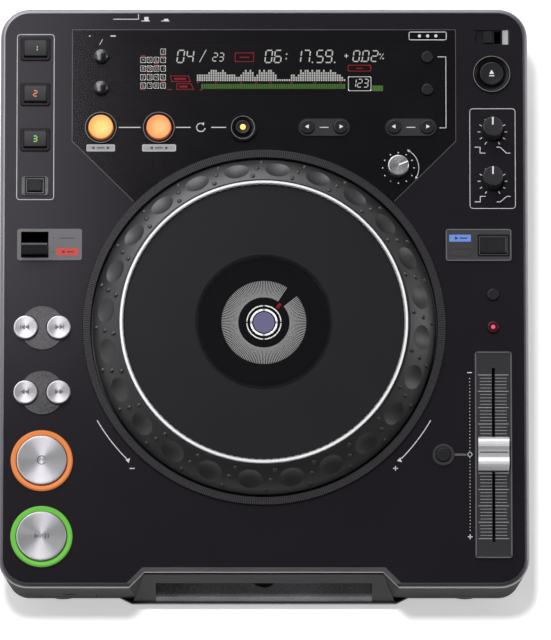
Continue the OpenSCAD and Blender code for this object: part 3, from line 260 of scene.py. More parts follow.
def build_place():
    """Where a point lies in the panel's own frame, in millimetres from the jog wheel's centre."""
    group, given, made = new_group("panel_place", [], [(way, "NodeSocketFloat") for way in "UVW"])
    place = group.nodes.new("ShaderNodeTexCoord").outputs["Object"]
    ways = {"U": Vector((1, 0, 0)), "V": Vector((0, math.cos(slope), math.sin(slope))),
            "W": Vector((0, -math.sin(slope), math.cos(slope)))}
    for label, way in ways.items():
        along = group.nodes.new("ShaderNodeVectorMath")
        along.operation = "DOT_PRODUCT"
        along.inputs[1].default_value = 1000 * way
        group.links.new(place, along.inputs[0])
        reach = add_math(group, "SUBTRACT", along.outputs["Value"], 1000 * way.dot(jog_centre))
        group.links.new(reach, made.inputs[label])
    return group


panel_place = build_place()


def place_in(material):
    """The outputs U, V and W of a point's place on the panel."""
    node = material.node_tree.nodes.new("ShaderNodeGroup")
    node.node_tree = panel_place
    return [node.outputs[label] for label in "UVW"]


def ramp(material, value, begin, end):
    """A mask that rises from 0 to 1 between two values."""
    node = material.node_tree.nodes.new("ShaderNodeMapRange")
    node.inputs["From Min"].default_value = begin
    node.inputs["From Max"].default_value = end
    material.node_tree.links.new(value, node.inputs["Value"])
    return node.outputs[0]


def shade_in(material, mask, colour, roughness=None, metallic=None, shade=None):
    """Gives the masked part of a finish its own colour, roughness, metal share and clouding."""
    tree = material.node_tree
    grain = tree.nodes["grain"]
    tint = tree.nodes.new("ShaderNodeMix")
    tint.data_type = "RGBA"
    under = grain.inputs["Colour"]
    if under.is_linked:
        tree.links.new(under.links[0].from_socket, tint.inputs["A"])
    else:
        tint.inputs["A"].default_value = under.default_value
    tint.inputs["B"].default_value = (*colour, 1)
    tree.links.new(mask, tint.inputs["Factor"])
    tree.links.new(tint.outputs["Result"], under)
    for label, value in (("Roughness", roughness), ("Shade", shade)):
        if value is not None:
            before = grain.inputs[label].default_value
            mixed = add_math(tree, "MULTIPLY_ADD", mask, value - before)
            mixed.node.inputs[2].default_value = before
            tree.links.new(mixed, grain.inputs[label])
    if metallic is not None:
        share = add_math(tree, "MULTIPLY", mask, metallic)
        tree.links.new(share, tree.nodes["Principled BSDF"].inputs["Metallic"])


wall_paint = finish("satin wall paint", (0.014, 0.0135, 0.0145), 0.8, scale=2200, depth=0.008,
                    specular=0.12)
# the polish begins 3 mm below the panel's top
wall_top = ramp(wall_paint, place_in(wall_paint)[2], -3.0, -2.7)
shade_in(wall_paint, wall_top, (0.21, 0.205, 0.215), roughness=0.42, metallic=0.95)
paint(wall_paint, "upper_case")

# ---- Front moulding with the disc slot, and the card door ----
# The moulding is satin black and fills the step in the front. Its recess leads the disc
# into the slot, and the small door to its left covers the card socket.
mould_black = finish("moulding black", (0.015, 0.014, 0.016), 0.6, scale=1100, depth=0.04,
                     specular=0.08)
# painted light: the ramp from the slot down to the front lip is coloured lighter for the light it
# catches, and has a coarser grain
recess_half = 65.5
slot_v, slot_w = -131, -32
lip_v, lip_w = -156.7, -47.5
ramp_fall = (slot_w - lip_w) / (slot_v - lip_v)
ramp_level = slot_w - slot_v * ramp_fall
across_u, along_v, over_w = place_in(mould_black)
mould_tree = mould_black.node_tree
over_ramp = add_math(mould_tree, "SUBTRACT", over_w,
                     add_math(mould_tree, "MULTIPLY", along_v, ramp_fall))
low_enough = ramp(mould_black, over_ramp, ramp_level + 0.5, ramp_level + 0.2)
between_cheeks = ramp(mould_black, add_math(mould_tree, "ABSOLUTE", across_u, 0),
                      recess_half, recess_half - 0.2)
ramp_painted_light = add_math(mould_tree, "MULTIPLY", low_enough, between_cheeks)
shade_in(mould_black, ramp_painted_light, (0.125, 0.121, 0.128), roughness=0.5, shade=1.6)
paint(mould_black, "slot_moulding")
paint(finish("card door black", (0.008, 0.008, 0.0085), 0.6, specular=0.06), "card_door")

# ---- Control panel and display window ----
# The panel is a sheet with a deep black satin lacquer. The smoked window is let into it
# flush, and its corners are cut off towards the jog wheel.


def patch(material, u, v, half_u, half_v):
    """A mask that is 1 on a rectangle of the panel."""
    tree = material.node_tree
    across, along = place_in(material)[:2]
    sides = []
    for value, middle, half in ((across, u, half_u), (along, v, half_v)):
        inside = add_math(tree, "COMPARE", value, middle)
        inside.node.inputs[2].default_value = half
        sides.append(inside)
    return add_math(tree, "MULTIPLY", *sides)


panel_lacquer = finish("panel lacquer", (0.0080, 0.0069, 0.0090), 0.34, scale=2600, depth=0.004,
                       shade=0.2, spread=0.05, specular=0.25)
# painted highlight: the right end of the lock's recess, whose wall faces the light, is pale, but
# not the panel round it
lock_end_highlight = add_math(panel_lacquer.node_tree, "MULTIPLY",
                    patch(panel_lacquer, 146.8, 180.2, 1.9, 4.6),
                    ramp(panel_lacquer, place_in(panel_lacquer)[2], -0.3, -0.5))
shade_in(panel_lacquer, lock_end_highlight, (0.30, 0.30, 0.31))
paint(panel_lacquer, "control_panel")
paint(finish("smoked window", (0.0060, 0.0053, 0.0065), 0.28, depth=0.0, alpha=0.62, specular=0.3),
      "display_window")

# ---- Boards, drive and supply inside the case ----
# Green boards carry the switches and chips. The drive is a zinc plated box with a rubber
# roller, a bright turntable and a black laser pickup on two rods.
board_green = finish("solder mask green", (0.02, 0.10, 0.045), 0.4, scale=500, shade=0.3)
# the body of the fader under its slot is black
right_u, fader_v = 138.6, -78.8
shade_in(board_green, patch(board_green, right_u, fader_v, 8, 64), (0.004, 0.004, 0.004))
paint(board_green, "control_boards", "main_boards", "power_supply")
paint(finish("zinc plated steel", (0.55, 0.56, 0.58), 0.38, metallic=1.0, scale=60, shade=0.2),
      "disc_drive")
paint(finish("roller rubber", (0.05, 0.05, 0.052), 0.8, depth=0.05), "loading_roller")
paint(finish("bright turned steel", (0.7, 0.7, 0.72), 0.25, metallic=1.0), "disc_turntable")
paint(finish("pickup black", (0.03, 0.03, 0.033), 0.5), "laser_pickup")
paint(finish("cast grey alloy", (0.16, 0.16, 0.17), 0.5, metallic=0.7, depth=0.05), "jog_bearing")

# ---- Rear connectors ----
# A black socket plate carries the mains inlet, the power key, the control jack and three
# phono sockets with gold plated sleeves. A screw with a crossed head holds each corner.


def open_piece(name):
    """A new empty mesh, open for editing."""
    bpy.ops.object.select_all(action="DESELECT")
    bpy.ops.mesh.primitive_plane_add(size=1)
    piece = bpy.context.object
    piece.name = name
    bpy.ops.object.mode_set(mode="EDIT")
    bpy.ops.mesh.delete(type="VERT")
    return piece


paint(finish("socket plate black", (0.02, 0.02, 0.022), 0.55, depth=0.05, specular=0.2),
      "rear_sockets")
paint(finish("gold plating", (0.83, 0.62, 0.28), 0.22, metallic=1.0, depth=0.004), "phono_sockets")
paint(finish("power key black", (0.028, 0.028, 0.03), 0.45, specular=0.2), "power_key")
socket_high = 0.042
sleeve_end = cad_box[1][1]
sleeve_bore = 0.0017
insulator_reach = 1.85
insulator_thick = 0.0002
# a coloured insulator closes the end of each sleeve round its bore
phono_colours = (("left", 0.060, (0.75, 0.75, 0.74)), ("right", 0.084, (0.55, 0.02, 0.02)),
                 ("digital", 0.108, (0.75, 0.22, 0.02)))
for name, x, colour in phono_colours:
    centre = (x, sleeve_end, socket_high)
    bpy.ops.object.select_all(action="DESELECT")
    bpy.ops.mesh.primitive_circle_add(vertices=32, radius=sleeve_bore, location=centre,
                                      rotation=(math.pi / 2, 0, 0))
    insulator = bpy.context.object
    insulator.name = f"phono_insulator_{name}"
    bpy.ops.object.mode_set(mode="EDIT")
    bpy.ops.mesh.extrude_edges_move()
    bpy.ops.transform.resize(value=(insulator_reach,) * 3, center_override=centre)
    bpy.ops.mesh.select_all(action="SELECT")
    bpy.ops.mesh.extrude_region_move(TRANSFORM_OT_translate={"value": (0, insulator_thick, 0)})
    bpy.ops.mesh.select_all(action="SELECT")
    bpy.ops.mesh.normals_make_consistent(inside=False)
    bpy.ops.object.mode_set(mode="OBJECT")
    bpy.ops.object.transform_apply(location=True, rotation=True, scale=True)
    paint(finish(f"insulator {name}", colour, 0.4, depth=0.01), insulator.name)
    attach(insulator, "deck")

# the crosses are painted shade, dark where the heads' cross recesses lie
crosses = open_piece("socket_screw_cross_shade")
screw_x, screw_rise = 0.133, 0.010
screw_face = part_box("case_screws")[1][1]
for x in (-screw_x, screw_x):
    for z in (socket_high - screw_rise, socket_high + screw_rise):
        for turn in (40, 130):
            bpy.ops.mesh.primitive_cube_add(size=1, location=(x, screw_face, z),
                                            rotation=(0, math.radians(turn), 0),
                                            scale=(0.0034, 0.0001, 0.0007))
bpy.ops.object.mode_set(mode="OBJECT")
paint(finish("screw cross shade black", (0.008, 0.008, 0.008), 0.6, depth=0.0), "socket_screw_cross_shade")
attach(crosses, "deck")

# ---- Jog wheel ----
# The wheel is one black moulding with 24 finger dimples. It turns inside a ribbed trim
# ring, carries a bright toothed ring and a matte platter, and has a window in its middle.


def off_axis(material, u, v):
    """The square of a point's distance from an axis that stands on the panel."""
    tree = material.node_tree
    squares = [add_math(tree, "POWER", add_math(tree, "SUBTRACT", value, middle), 2)
               for value, middle in zip(place_in(material), (u, v))]
    return add_math(tree, "ADD", *squares)


paint(finish("trim ring black", (0.006, 0.0057, 0.0063), 0.4, specular=0.15), "jog_trim_ring")
paint(finish("wheel black", (0.011, 0.0106, 0.0114), 0.4, scale=1500, depth=0.012, spread=0.06,
             specular=0.75), "jog_wheel")
ring_silver = finish("ring silver", (0.78, 0.78, 0.79), 0.4, metallic=0.1, depth=0.002)
# painted shade: the toothed inner edge of the ring is coloured greyer than its polished outer edge
ring_reach = 87.0
ring_polish = 1.2
ring_inner_shade = ramp(ring_silver, off_axis(ring_silver, 0, 0),
                   (ring_reach - ring_polish) ** 2, (ring_reach - ring_polish - 0.3) ** 2)
shade_in(ring_silver, ring_inner_shade, (0.24, 0.24, 0.25))
paint(ring_silver, "jog_ring")
paint(finish("platter black", (0.0095, 0.009, 0.010), 0.5, scale=2600, depth=0.02, specular=0.2),
      "jog_platter")
paint(finish("jog window", (0.008, 0.008, 0.009), 0.18, depth=0.0, alpha=0.5, specular=0.2),
      "jog_window")
paint(finish("jog display black", (0.006, 0.006, 0.007), 0.4, depth=0.0, specular=0.2),
      "jog_display")

# ---- Plates and bezels ----
# Raised plates in satin grey carry the lever, the fader and the paired keys, and low black
# bezels frame single keys. Both are glued on, and some come in a tone of their own.
plate_grey = finish("plate grey", (0.026, 0.025, 0.0275), 0.4, specular=0.2)
bezel_black = finish("bezel black", (0.0035, 0.0035, 0.0038), 0.3, specular=0.15)
cap_left_u = -134
hot_cue_u, record_v = -138.8, 87.4
reset_u = 108.4
# the place of each tone with its half width and half height, and what differs there
plate_tones = (
    ((cap_left_u, -20, 14, 42),
     {"colour": (0.070, 0.068, 0.072), "roughness": 0.45, "shade": 1.6}),
    ((130, 50, 25, 14), {"colour": (0.040, 0.039, 0.042)}),
    ((-130, 50, 25, 14), {"colour": (0.115, 0.112, 0.118), "roughness": 0.45}))
bezel_tones = (
    ((63, 124, 46, 9), {"colour": (0.030, 0.029, 0.032), "roughness": 0.4}),
    ((hot_cue_u, record_v, 12, 10),
     {"colour": (0.085, 0.084, 0.087), "roughness": 0.45, "shade": 1.6}),
    ((reset_u, fader_v, 8, 8), {"colour": (0.034, 0.033, 0.036), "roughness": 0.4}))
for material, tones in ((plate_grey, plate_tones), (bezel_black, bezel_tones)):
    for area, tone in tones:
        shade_in(material, patch(material, *area), **tone)
paint(plate_grey, "switch_plates")
paint(bezel_black, "key_bezels")

# ---- Printed marks on the panel and the window ----
# Pale grey ink, screen printed: frames round the key groups, scales round the knobs and
# the fader, and lines that tie keys together. Each mark is a thin layer on its surface.
ink_thick = 0.04
# heights over the panel, in millimetres
panel_top = 0
plate_top = 1.0
bezel_top = 1.8


def lay_on_panel(piece, body, material):
    """Turns a piece that was drawn flat, in millimetres from the jog wheel's centre, onto
    the sloping panel and hands it to its body."""
    bpy.ops.object.mode_set(mode="OBJECT")
    piece.scale = (0.001, 0.001, 0.001)
    piece.rotation_euler = (slope, 0, 0)
    piece.location = jog_centre
    bpy.ops.object.transform_apply(location=True, rotation=True, scale=True)
    paint(material, piece.name)
    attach(piece, body)


def bar(u, v, w, long, wide, turn=0.0, thick=ink_thick):
    """A straight stroke about its middle, that stands on height w."""
    bpy.ops.mesh.primitive_cube_add(size=1, location=(u, v, w + thick / 2),
                                    rotation=(0, 0, math.radians(turn)),
                                    scale=(long, wide, thick))


def disc(u, v, w, radius, corners=24, turn=0.0, thick=ink_thick):
    """A dot, or with three corners an arrow head."""
    bpy.ops.mesh.primitive_cylinder_add(vertices=corners, radius=radius, depth=thick,
                                        location=(u, v, w + thick / 2),
                                        rotation=(0, 0, math.radians(turn)))


def arrow(u, v, w, radius, way):
    """An arrow head that points right with way 1 and left with way -1."""
    disc(u, v, w, radius, 3, -90 * way)


def line(points, w, wide, closed=False, thick=ink_thick):
    """A line through the points, its strokes lapped at the corners."""
    ends = points[1:] + points[:1] if closed else points[1:]
    for (u0, v0), (u1, v1) in zip(points, ends):
        long = math.hypot(u1 - u0, v1 - v0) + wide * 0.8
        turn = math.degrees(math.atan2(v1 - v0, u1 - u0))
        bar((u0 + u1) / 2, (v0 + v1) / 2, w, long, wide, turn, thick)


def around(u, v, radius, angle):
    """The point at an angle in degrees on a circle."""
    turn = math.radians(angle)
    return u + radius * math.cos(turn), v + radius * math.sin(turn)


def arc(u, v, w, radius, wide, start, sweep, steps, thick=ink_thick):
    """Part of a ring, in short strokes."""
    points = [around(u, v, radius, start + sweep * i / steps) for i in range(steps + 1)]
    line(points, w, wide, thick=thick)


def frame_line(u0, u1, v0, v1, w, wide, corner=1.6, thick=ink_thick):
    """A rectangle of line with cut-round corners."""
    c = corner
    k = corner * 0.3
    points = [(u0 + c, v0), (u1 - c, v0), (u1 - k, v0 + k), (u1, v0 + c), (u1, v1 - c),
              (u1 - k, v1 - k), (u1 - c, v1), (u0 + c, v1), (u0 + k, v1 - k), (u0, v1 - c),
              (u0, v0 + c), (u0 + k, v0 + k)]
    line(points, w, wide, closed=True, thick=thick)


white_ink = finish("pale grey ink", (0.50, 0.50, 0.52), 0.6, depth=0.0, shade=0.1)
panel_marks = open_piece("panel_marks")
# frames round the keys at the upper left and round the two knobs
frame_line(-149.9, -127.5, 79.1, 181.9, panel_top, 0.4)
frame_line(124.9, 152.4, 73.6, 135.6, panel_top, 0.36)
# each knob has eleven ticks round it, and a steep and a gentle curve below
brake_v, start_v = 121.2, 90.5
for knob_v, begin_v, end_v in ((brake_v, 111.7, 108.0), (start_v, 77.7, 81.1)):
    for angle in range(-60, 241, 30):
        bar(*around(right_u, knob_v, 8.1, angle), panel_top, 1.7, 0.42, angle)
    line([(128.0, begin_v), (131.1, begin_v), (131.1, end_v), (134.2, end_v)], panel_top, 0.45)
    line([(141.3, begin_v), (143.3, begin_v), (147.1, end_v), (149.3, end_v)], panel_top, 0.45)
# the power key's line, with its raised and its pressed state
line([(-91.5, 191.5), (-76.3, 191.5), (-76.3, 194.5)], panel_top, 0.45)
for u, high in ((-72.0, 2.3), (-60.0, 1.1)):
    bar(u, 190.4, panel_top, 5.0, 0.5)
    bar(u + 0.5, 190.6 + high / 2, panel_top, 2.6, high)
# the dotted scale beside the fader, with signs at its ends and a ring at its zero
scale_u, zero_v, dot_step = 124.3, -78.4, 2.03
plus_v, minus_v = -129.0, -28.0
for i in range(-23, 24):
    if i:
        disc(scale_u, zero_v + i * dot_step, panel_top, 0.30, 8)
bar(scale_u, minus_v, panel_top, 2.9, 0.55)
bar(scale_u, plus_v, panel_top, 2.9, 0.55)
bar(scale_u, plus_v, panel_top, 0.55, 2.9)
arc(scale_u, zero_v, panel_top, 1.25, 0.5, 0, 360, 14)
# turning arrows outside the jog wheel, with a minus at the left and a plus at the right
turn_reach, turn_sweep, tip_sweep = 115.9, 14.4, 15.2
for side, begin in ((-1, 209.8), (1, -29.8)):
    arc(0, 0, panel_top, turn_reach, 0.55, begin, -side * turn_sweep, 12)
    tip = begin - side * tip_sweep
    disc(*around(0, 0, turn_reach, tip), panel_top, 1.7, 3, tip - side * 90)
    bar(side * 79.4, -87.0, panel_top, 2.9, 0.55)
bar(79.4, -87.0, panel_top, 0.55, 2.9)
lay_on_panel(panel_marks, "deck", white_ink)

window_marks = open_piece("window_marks")
loop_in_u, loop_out_u, loop_exit_u, loop_v = -99.0, -63.8, -12.8, 123.7
# over the time mode key, two signs with a stroke between them
bar(-105.9, 181.0, panel_top, 0.7, 0.7)
bar(-91.7, 181.0, panel_top, 3.2, 0.7)
bar(-99.0, 177.2, panel_top, 4.0, 0.35, 62)
# lines that tie the loop keys together, and the open circle of the loop's return
for begin, end in ((-88.0, -75.0), (-53.5, -44.5), (-32.0, -23.0)):
    bar((begin + end) / 2, 124.0, panel_top, end - begin, 0.55)
arc(-38.3, 124.0, panel_top, 2.6, 0.6, 60, 285, 12)
disc(-37.0, 126.2, panel_top, 1.2, 3, 205)
# the line beside the memory and delete keys, and a box with three dots
line([(105.6, 168.0), (110.5, 168.0), (110.5, 123.7), (106.6, 123.7)], panel_top, 0.4)
frame_line(88.2, 110.8, 178.6, 183.5, panel_top, 0.45, 0.8)
for u in (94.5, 99.5, 104.5):
    disc(u, 181.05, panel_top, 1.0, 12)
# filled labels under the two lit keys
label_v = 111.25
for begin, end in ((-107.7, -90.4), (-73.9, -53.4)):
    bar((begin + end) / 2, label_v, panel_top, end - begin - 0.8, 4.3)
    bar((begin + end) / 2, label_v, panel_top, end - begin, 3.5)
# a dash between the two keys of each pair
folder_u, call_u = 36.5, 89.1
for u in (folder_u, call_u):
    bar(u, 123.8, plate_top, 5.4, 0.5)
# dots round the jog adjust knob, and an arrow with two heads
adjust_u, adjust_v, adjust_arrow = 81.5, 98.8, 12.4
for angle in range(-120, 241, 30):
    disc(*around(adjust_u, adjust_v, 9.5, angle), panel_top, 0.42, 10)
arc(adjust_u, adjust_v, panel_top, adjust_arrow, 0.4, 58, -85, 14)
for angle, turn in ((-29, 30), (60, 60)):
    disc(*around(adjust_u, adjust_v, adjust_arrow, angle), panel_top, 1.0, 3, turn)
lay_on_panel(window_marks, "deck", white_ink)

window_border = open_piece("window_border")
line([(-79.2, 78.3), (-116.4, 115.4), (-116.4, 184.9), (116.4, 184.9), (116.4, 115.4),
      (79.2, 78.3)], panel_top, 0.35)
lay_on_panel(window_border, "deck",
             finish("border grey", (0.075, 0.073, 0.077), 0.4, depth=0.0))

label_marks = open_piece("label_marks")
for u in (-99.05, -63.65):
    arrow(u - 4.4, label_v, ink_thick, 1.2, -1)
    arrow(u + 4.4, label_v, ink_thick, 1.2, 1)
    bar(u, label_v, ink_thick, 4.6, 0.6)
lay_on_panel(label_marks, "deck",
             finish("dark ink", (0.03, 0.03, 0.03), 0.6, depth=0.0))

# ---- Display ----
# A segment display sits on its board behind the smoked window: white, red and green
# segments for the track, the time, the tempo and a bar graph of the sound.
display_w = -1.46
segments = {"0": "abcdef", "1": "bc", "2": "abged", "3": "abgcd", "4": "fgbc", "5": "afgcd",
            "6": "afgedc", "7": "abc", "8": "abcdefg", "9": "abcdfg"}


def digit(sign, u, v, high, wide, stroke, w=display_w, lean=0.12):
    """A leaning seven segment number."""
    half = high / 2
    reach = wide / 2
    level = {"a": half, "g": 0, "d": -half}
    upright = {"b": (reach, half / 2), "c": (reach, -half / 2),
               "e": (-reach, -half / 2), "f": (-reach, half / 2)}
    lean_turn = 90 - math.degrees(math.atan(lean))
    for name in segments[sign]:
        if name in level:
            y = level[name]
            bar(u + lean * y, v + y, w, wide - stroke * 1.2, stroke)
        else:
            x, y = upright[name]
            bar(u + x + lean * y, v + y, w, half - stroke * 1.2, stroke, lean_turn)


def digits(signs, v, high, wide, stroke):
    """Numbers on one line of the display, each with its own place along it."""
    for sign, u in signs:
        digit(sign, u, v, high, wide, stroke)


display_face = open_piece("display_face")
bar(0, 160, -1.5, 153, 30, thick=0.03)
for v in (146.4, 173.6):
    bar(0, v, -1.47, 151, 0.3, thick=0.02)
lay_on_panel(display_face, "deck",
             finish("display face", (0.006, 0.005, 0.007), 0.3, depth=0.0, specular=0.2))

display_white = open_piece("display_white_segments")
# the track and the time, the tempo in percent, the number of tracks and the hot cues
digits((("0", -50.6), ("4", -44.9), ("0", 2.9), ("6", 8.5), ("1", 20.6), ("7", 25.9),
        ("5", 34.0), ("9", 39.4)), 168.6, 7.6, 3.9, 0.75)
digits((("0", 56.2), ("0", 61.8), ("2", 67.2)), 168.8, 6.6, 3.6, 0.7)
digits((("2", -29.7), ("3", -25.9)), 168.2, 5.0, 2.6, 0.6)
digits((("1", 54.6), ("2", 58.2), ("3", 62.0)), 151.9, 5.0, 2.5, 0.55)
line([(-39.1, 165.2), (-35.2, 172.6)], display_w, 0.5)
for u, v in ((13.8, 170.0), (13.5, 167.2), (29.4, 164.9), (42.9, 164.9), (59.2, 165.6)):
    disc(u, v, display_w, 0.5, 8)
bar(50.0, 168.9, display_w, 2.6, 0.5)
bar(50.0, 168.9, display_w, 0.5, 2.6)
disc(70.6, 169.9, display_w, 0.55, 8)
disc(72.4, 167.3, display_w, 0.55, 8)
line([(70.5, 167.0), (72.6, 170.4)], display_w, 0.35)
frame_line(51.3, 65.0, 147.2, 155.9, display_w, 0.45, 0.6)
# the calendar of numbered boxes at the left
grid_u = (-73.5, -69.5, -65.4, -61.3)
grid_v = (171.6, 166.4, 161.0, 155.6, 150.4)
for row, v in enumerate(grid_v):
    for column, u in enumerate(grid_u):
        if row == 0 and column < 3:
            continue
        frame_line(u - 1.5, u + 1.5, v - 1.75, v + 1.75, display_w, 0.3, 0.4)
        digit(str((4 * row + column) % 10), u, v, 2.0, 1.0, 0.28, lean=0)
# the bar graph, as the number of lit cells in each of its columns
heights = [3] * 5 + [4, 5, 5, 5, 4] + [4, 5, 4] + [3, 3, 3, 3, 2, 2] + [3, 4, 5, 4, 5, 4]
heights += [2, 3] + [5, 4, 5, 4, 5, 5, 4, 3] + [1] * 6 + [3, 3, 2, 3]
heights += [5, 4, 5, 5, 4, 5, 4, 5, 5, 4, 5, 4, 4, 5, 4, 4] + [3, 3, 2, 1]
graph_left, graph_wide, graph_low, cell_high = -41.0, 90.6, 153.1, 1.46
cell_wide = graph_wide / len(heights)
for i, cells in enumerate(heights):
    bar(graph_left + (i + 0.5) * cell_wide, graph_low + cells * cell_high / 2, display_w,
        cell_wide * 0.68, cells * cell_high - 0.3)
lay_on_panel(display_white, "deck",
             finish("white segment", (0.85, 0.85, 0.82), 0.5, depth=0.0, glow=3.6))

# dark lines part the cells of the graph and those of the green strip under it
strip_left, strip_wide, strip_v = -38.1, 87.4, 149.9
display_gaps = open_piece("display_gap_lines")
for i in range(1, 6):
    bar(4.3, 153.0 + i * cell_high, display_w + ink_thick, 91.0, 0.26)
for i in range(1, len(heights)):
    bar(strip_left + i * strip_wide / len(heights), strip_v, display_w + ink_thick, 0.3, 3.3)
lay_on_panel(display_gaps, "deck",
             finish("gap line", (0.01, 0.01, 0.01), 0.5, depth=0.0, specular=0.1))

display_red = open_piece("display_red_segments")
for u, v in ((-73.5, 169.1), (-61.3, 169.1), (-65.4, 163.9), (-69.5, 158.8), (-61.3, 153.3),
             (-73.5, 147.9), (-57.4, 147.9)):
    bar(u, v, display_w, 3.2, 0.6)
frame_line(-17.5, -6.3, 165.4, 170.8, display_w, 0.45, 0.4)
bar(-11.9, 168.1, display_w, 6.0, 0.6)
frame_line(51.2, 64.9, 159.4, 163.1, display_w, 0.45, 0.8)
bar(58.0, 161.2, display_w, 4.0, 0.6)
line([(-56.0, 152.9), (-44.6, 152.9), (-45.9, 156.4), (-57.0, 156.4)], display_w, 0.45,
     closed=True)
bar(-51.0, 154.6, display_w, 7.0, 1.2)
line([(-53.0, 148.1), (-42.8, 148.1), (-44.4, 151.6), (-53.0, 151.6)], display_w, 0.45,
     closed=True)
bar(-49.0, 149.8, display_w, 5.0, 1.2)
# cue points over the strip, and the play point under it
for u in (-40.2, -29.2, -14.0, -4.8, 4.0, 16.7, 31.0, 46.5):
    bar(u, 152.3, display_w, 1.3, 0.8)
bar(-38.2, 147.7, display_w, 1.6, 0.7)
lay_on_panel(display_red, "deck",
             finish("red segment", (0.80, 0.03, 0.05), 0.5, depth=0.0, glow=1.8))

display_green = open_piece("display_green_segments")
bar(5.6, strip_v, display_w, strip_wide, 3.1)
bar(69.0, 148.7, display_w, 6.6, 3.5)
lay_on_panel(display_green, "deck",
             finish("green segment", (0.22, 0.55, 0.10), 0.5, depth=0.0, glow=1.5))

# ---- Keys ----
# Turned aluminium caps for the large and the paired keys, lit caps for the loop keys,
# and satin black caps for the rest. Most have a printed or a lit mark on top.
lathe_turn = 0.31


def turn_metal(material, anisotropy):
    """Gives a metal the fine circular lines of a lathe, whose highlights fan up and down."""
    tree = material.node_tree
    shader = tree.nodes["Principled BSDF"]
    tangent = tree.nodes.new("ShaderNodeTangent")
    tangent.direction_type = "RADIAL"
    tangent.axis = "Z"
    tree.links.new(tangent.outputs["Tangent"], shader.inputs["Tangent"])
    shader.inputs["Anisotropic"].default_value = anisotropy
    shader.inputs["Anisotropic Rotation"].default_value = lathe_turn
    return material


paint(turn_metal(finish("turned aluminium", (0.64, 0.64, 0.65), 0.45, metallic=0.8, depth=0.0,
                        spread=0.03), 0.9),
      "cue_key", "play_key", "track_back_key", "track_next_key", "search_back_key",
      "search_next_key")
paint(turn_metal(finish("knob aluminium", (0.66, 0.66, 0.68), 0.3, metallic=0.9, depth=0.0), 0.7),
      "jog_adjust_knob")
dome_black = finish("dome black", (0.006, 0.006, 0.0065), 0.2, depth=0.0, specular=1.0)
key_black = finish("key black", (0.016, 0.016, 0.018), 0.25, specular=0.3)
cue_cap_painted_sheen = finish("key grey", (0.004, 0.004, 0.0043), 0.35, specular=0.2)
# each cap of the hot cue row stands in the middle of a step, and a painted highlight makes it pale
# towards its top edge
hot_cue_v = (172.6, 144.4, 116.2)
cue_row_pitch = 28.2
row_place = add_math(cue_cap_painted_sheen.node_tree, "ADD", place_in(cue_cap_painted_sheen)[1],
                     4.5 * cue_row_pitch - hot_cue_v[2])
row_place = add_math(cue_cap_painted_sheen.node_tree, "MODULO", row_place, cue_row_pitch)
shade_in(cue_cap_painted_sheen, ramp(cue_cap_painted_sheen, row_place, 9, 20), (0.038, 0.037, 0.040))
paint(cue_cap_painted_sheen, "hot_cue_key_1", "hot_cue_key_2", "hot_cue_key_3")
paint(finish("record key grey", (0.004, 0.004, 0.0043), 0.35, specular=0.2), "record_mode_key")
paint(key_black, "time_mode_key", "text_mode_key", "memory_key", "delete_key", "eject_key",
      "jog_mode_key", "tempo_range_key", "tempo_reset_key", "folder_back_key",
      "folder_next_key", "call_back_key", "call_next_key", "loop_exit_key")


def lit_cap(name, u, v, centre, edge):
    """A cap lit from below, brightest in its middle."""
    cap = finish(name, centre, 0.35, glow=0.25, depth=0.0, shade=0.25)
    shade_in(cap, ramp(cap, off_axis(cap, u, v), 4, 60), edge)
    return cap


paint(lit_cap("loop in amber", loop_in_u, loop_v, (0.88, 0.46, 0.13), (0.66, 0.22, 0.05)),
      "loop_in_key")
paint(lit_cap("loop out orange", loop_out_u, loop_v, (0.86, 0.34, 0.12), (0.58, 0.15, 0.04)),
      "loop_out_key")
paint(finish("tempo red", (0.035, 0.005, 0.009), 0.3), "master_tempo_key")

# painted shade: dark frames fill the gaps round the square caps; painted highlights: thin pale
# rims on the round bezels
key_gap_shade = open_piece("key_gap_shade")
for v in hot_cue_v:
    frame_line(-147.2, -130.4, v - 6.6, v + 6.6, panel_top, 1.4, 1.2, thick=0.3)
frame_line(-144.55, -133.05, 82.3, 92.5, bezel_top, 0.7, 0.5, thick=0.05)
frame_line(129.7, 148.3, 44.0, 56.8, plate_top, 0.8, 0.8, thick=0.05)
lay_on_panel(key_gap_shade, "deck",
             finish("gap shade black", (0.003, 0.003, 0.0033), 0.4, specular=0.1))
eject_u, eject_v = 138.3, 157.0
# each rim is a painted highlight on the bezel's rounded edge
bezel_rim_highlights = open_piece("bezel_rim_highlights")
for u, v, radius in ((loop_in_u, loop_v, 9.4), (loop_out_u, loop_v, 9.4),
                     (loop_exit_u, loop_v, 7.0), (eject_u, eject_v, 11.0)):
    arc(u, v, bezel_top, radius, 0.3, 0, 360, 48, thick=0.1)
lay_on_panel(bezel_rim_highlights, "deck",
             finish("bezel rim highlight grey", (0.20, 0.20, 0.205), 0.35, depth=0.0))

domes = {"time_mode_key": (-99.0, 168.0), "text_mode_key": (-99.0, 148.3)}
for name, (u, v) in domes.items():
    dome = open_piece(name + "_dome")
    bpy.ops.mesh.primitive_uv_sphere_add(segments=40, ring_count=20, radius=4.4,
                                         location=(u, v, 2.6), scale=(1, 1, 0.4))
    lay_on_panel(dome, name + "_body", dome_black)
    bpy.ops.object.shade_smooth()

mark_grey = finish("cap mark grey", (0.10, 0.10, 0.105), 0.5, depth=0.0)
mark_white = finish("cap mark white", (0.60, 0.60, 0.62), 0.5, depth=0.0)
lit_green = finish("lit green mark", (0.16, 0.48, 0.09), 0.5, depth=0.0, glow=0.4)
lit_orange = finish("lit orange mark", (0.55, 0.20, 0.06), 0.5, depth=0.0, glow=0.4)
# heights of the caps' tops over the panel
cue_row_top = 3.4
pair_top = 3.12
small_pair_top = 3.0
play_top = 2.75
cue_top = 2.72
eject_top = 2.62
exit_top = 2.61
tempo_top = 2.0


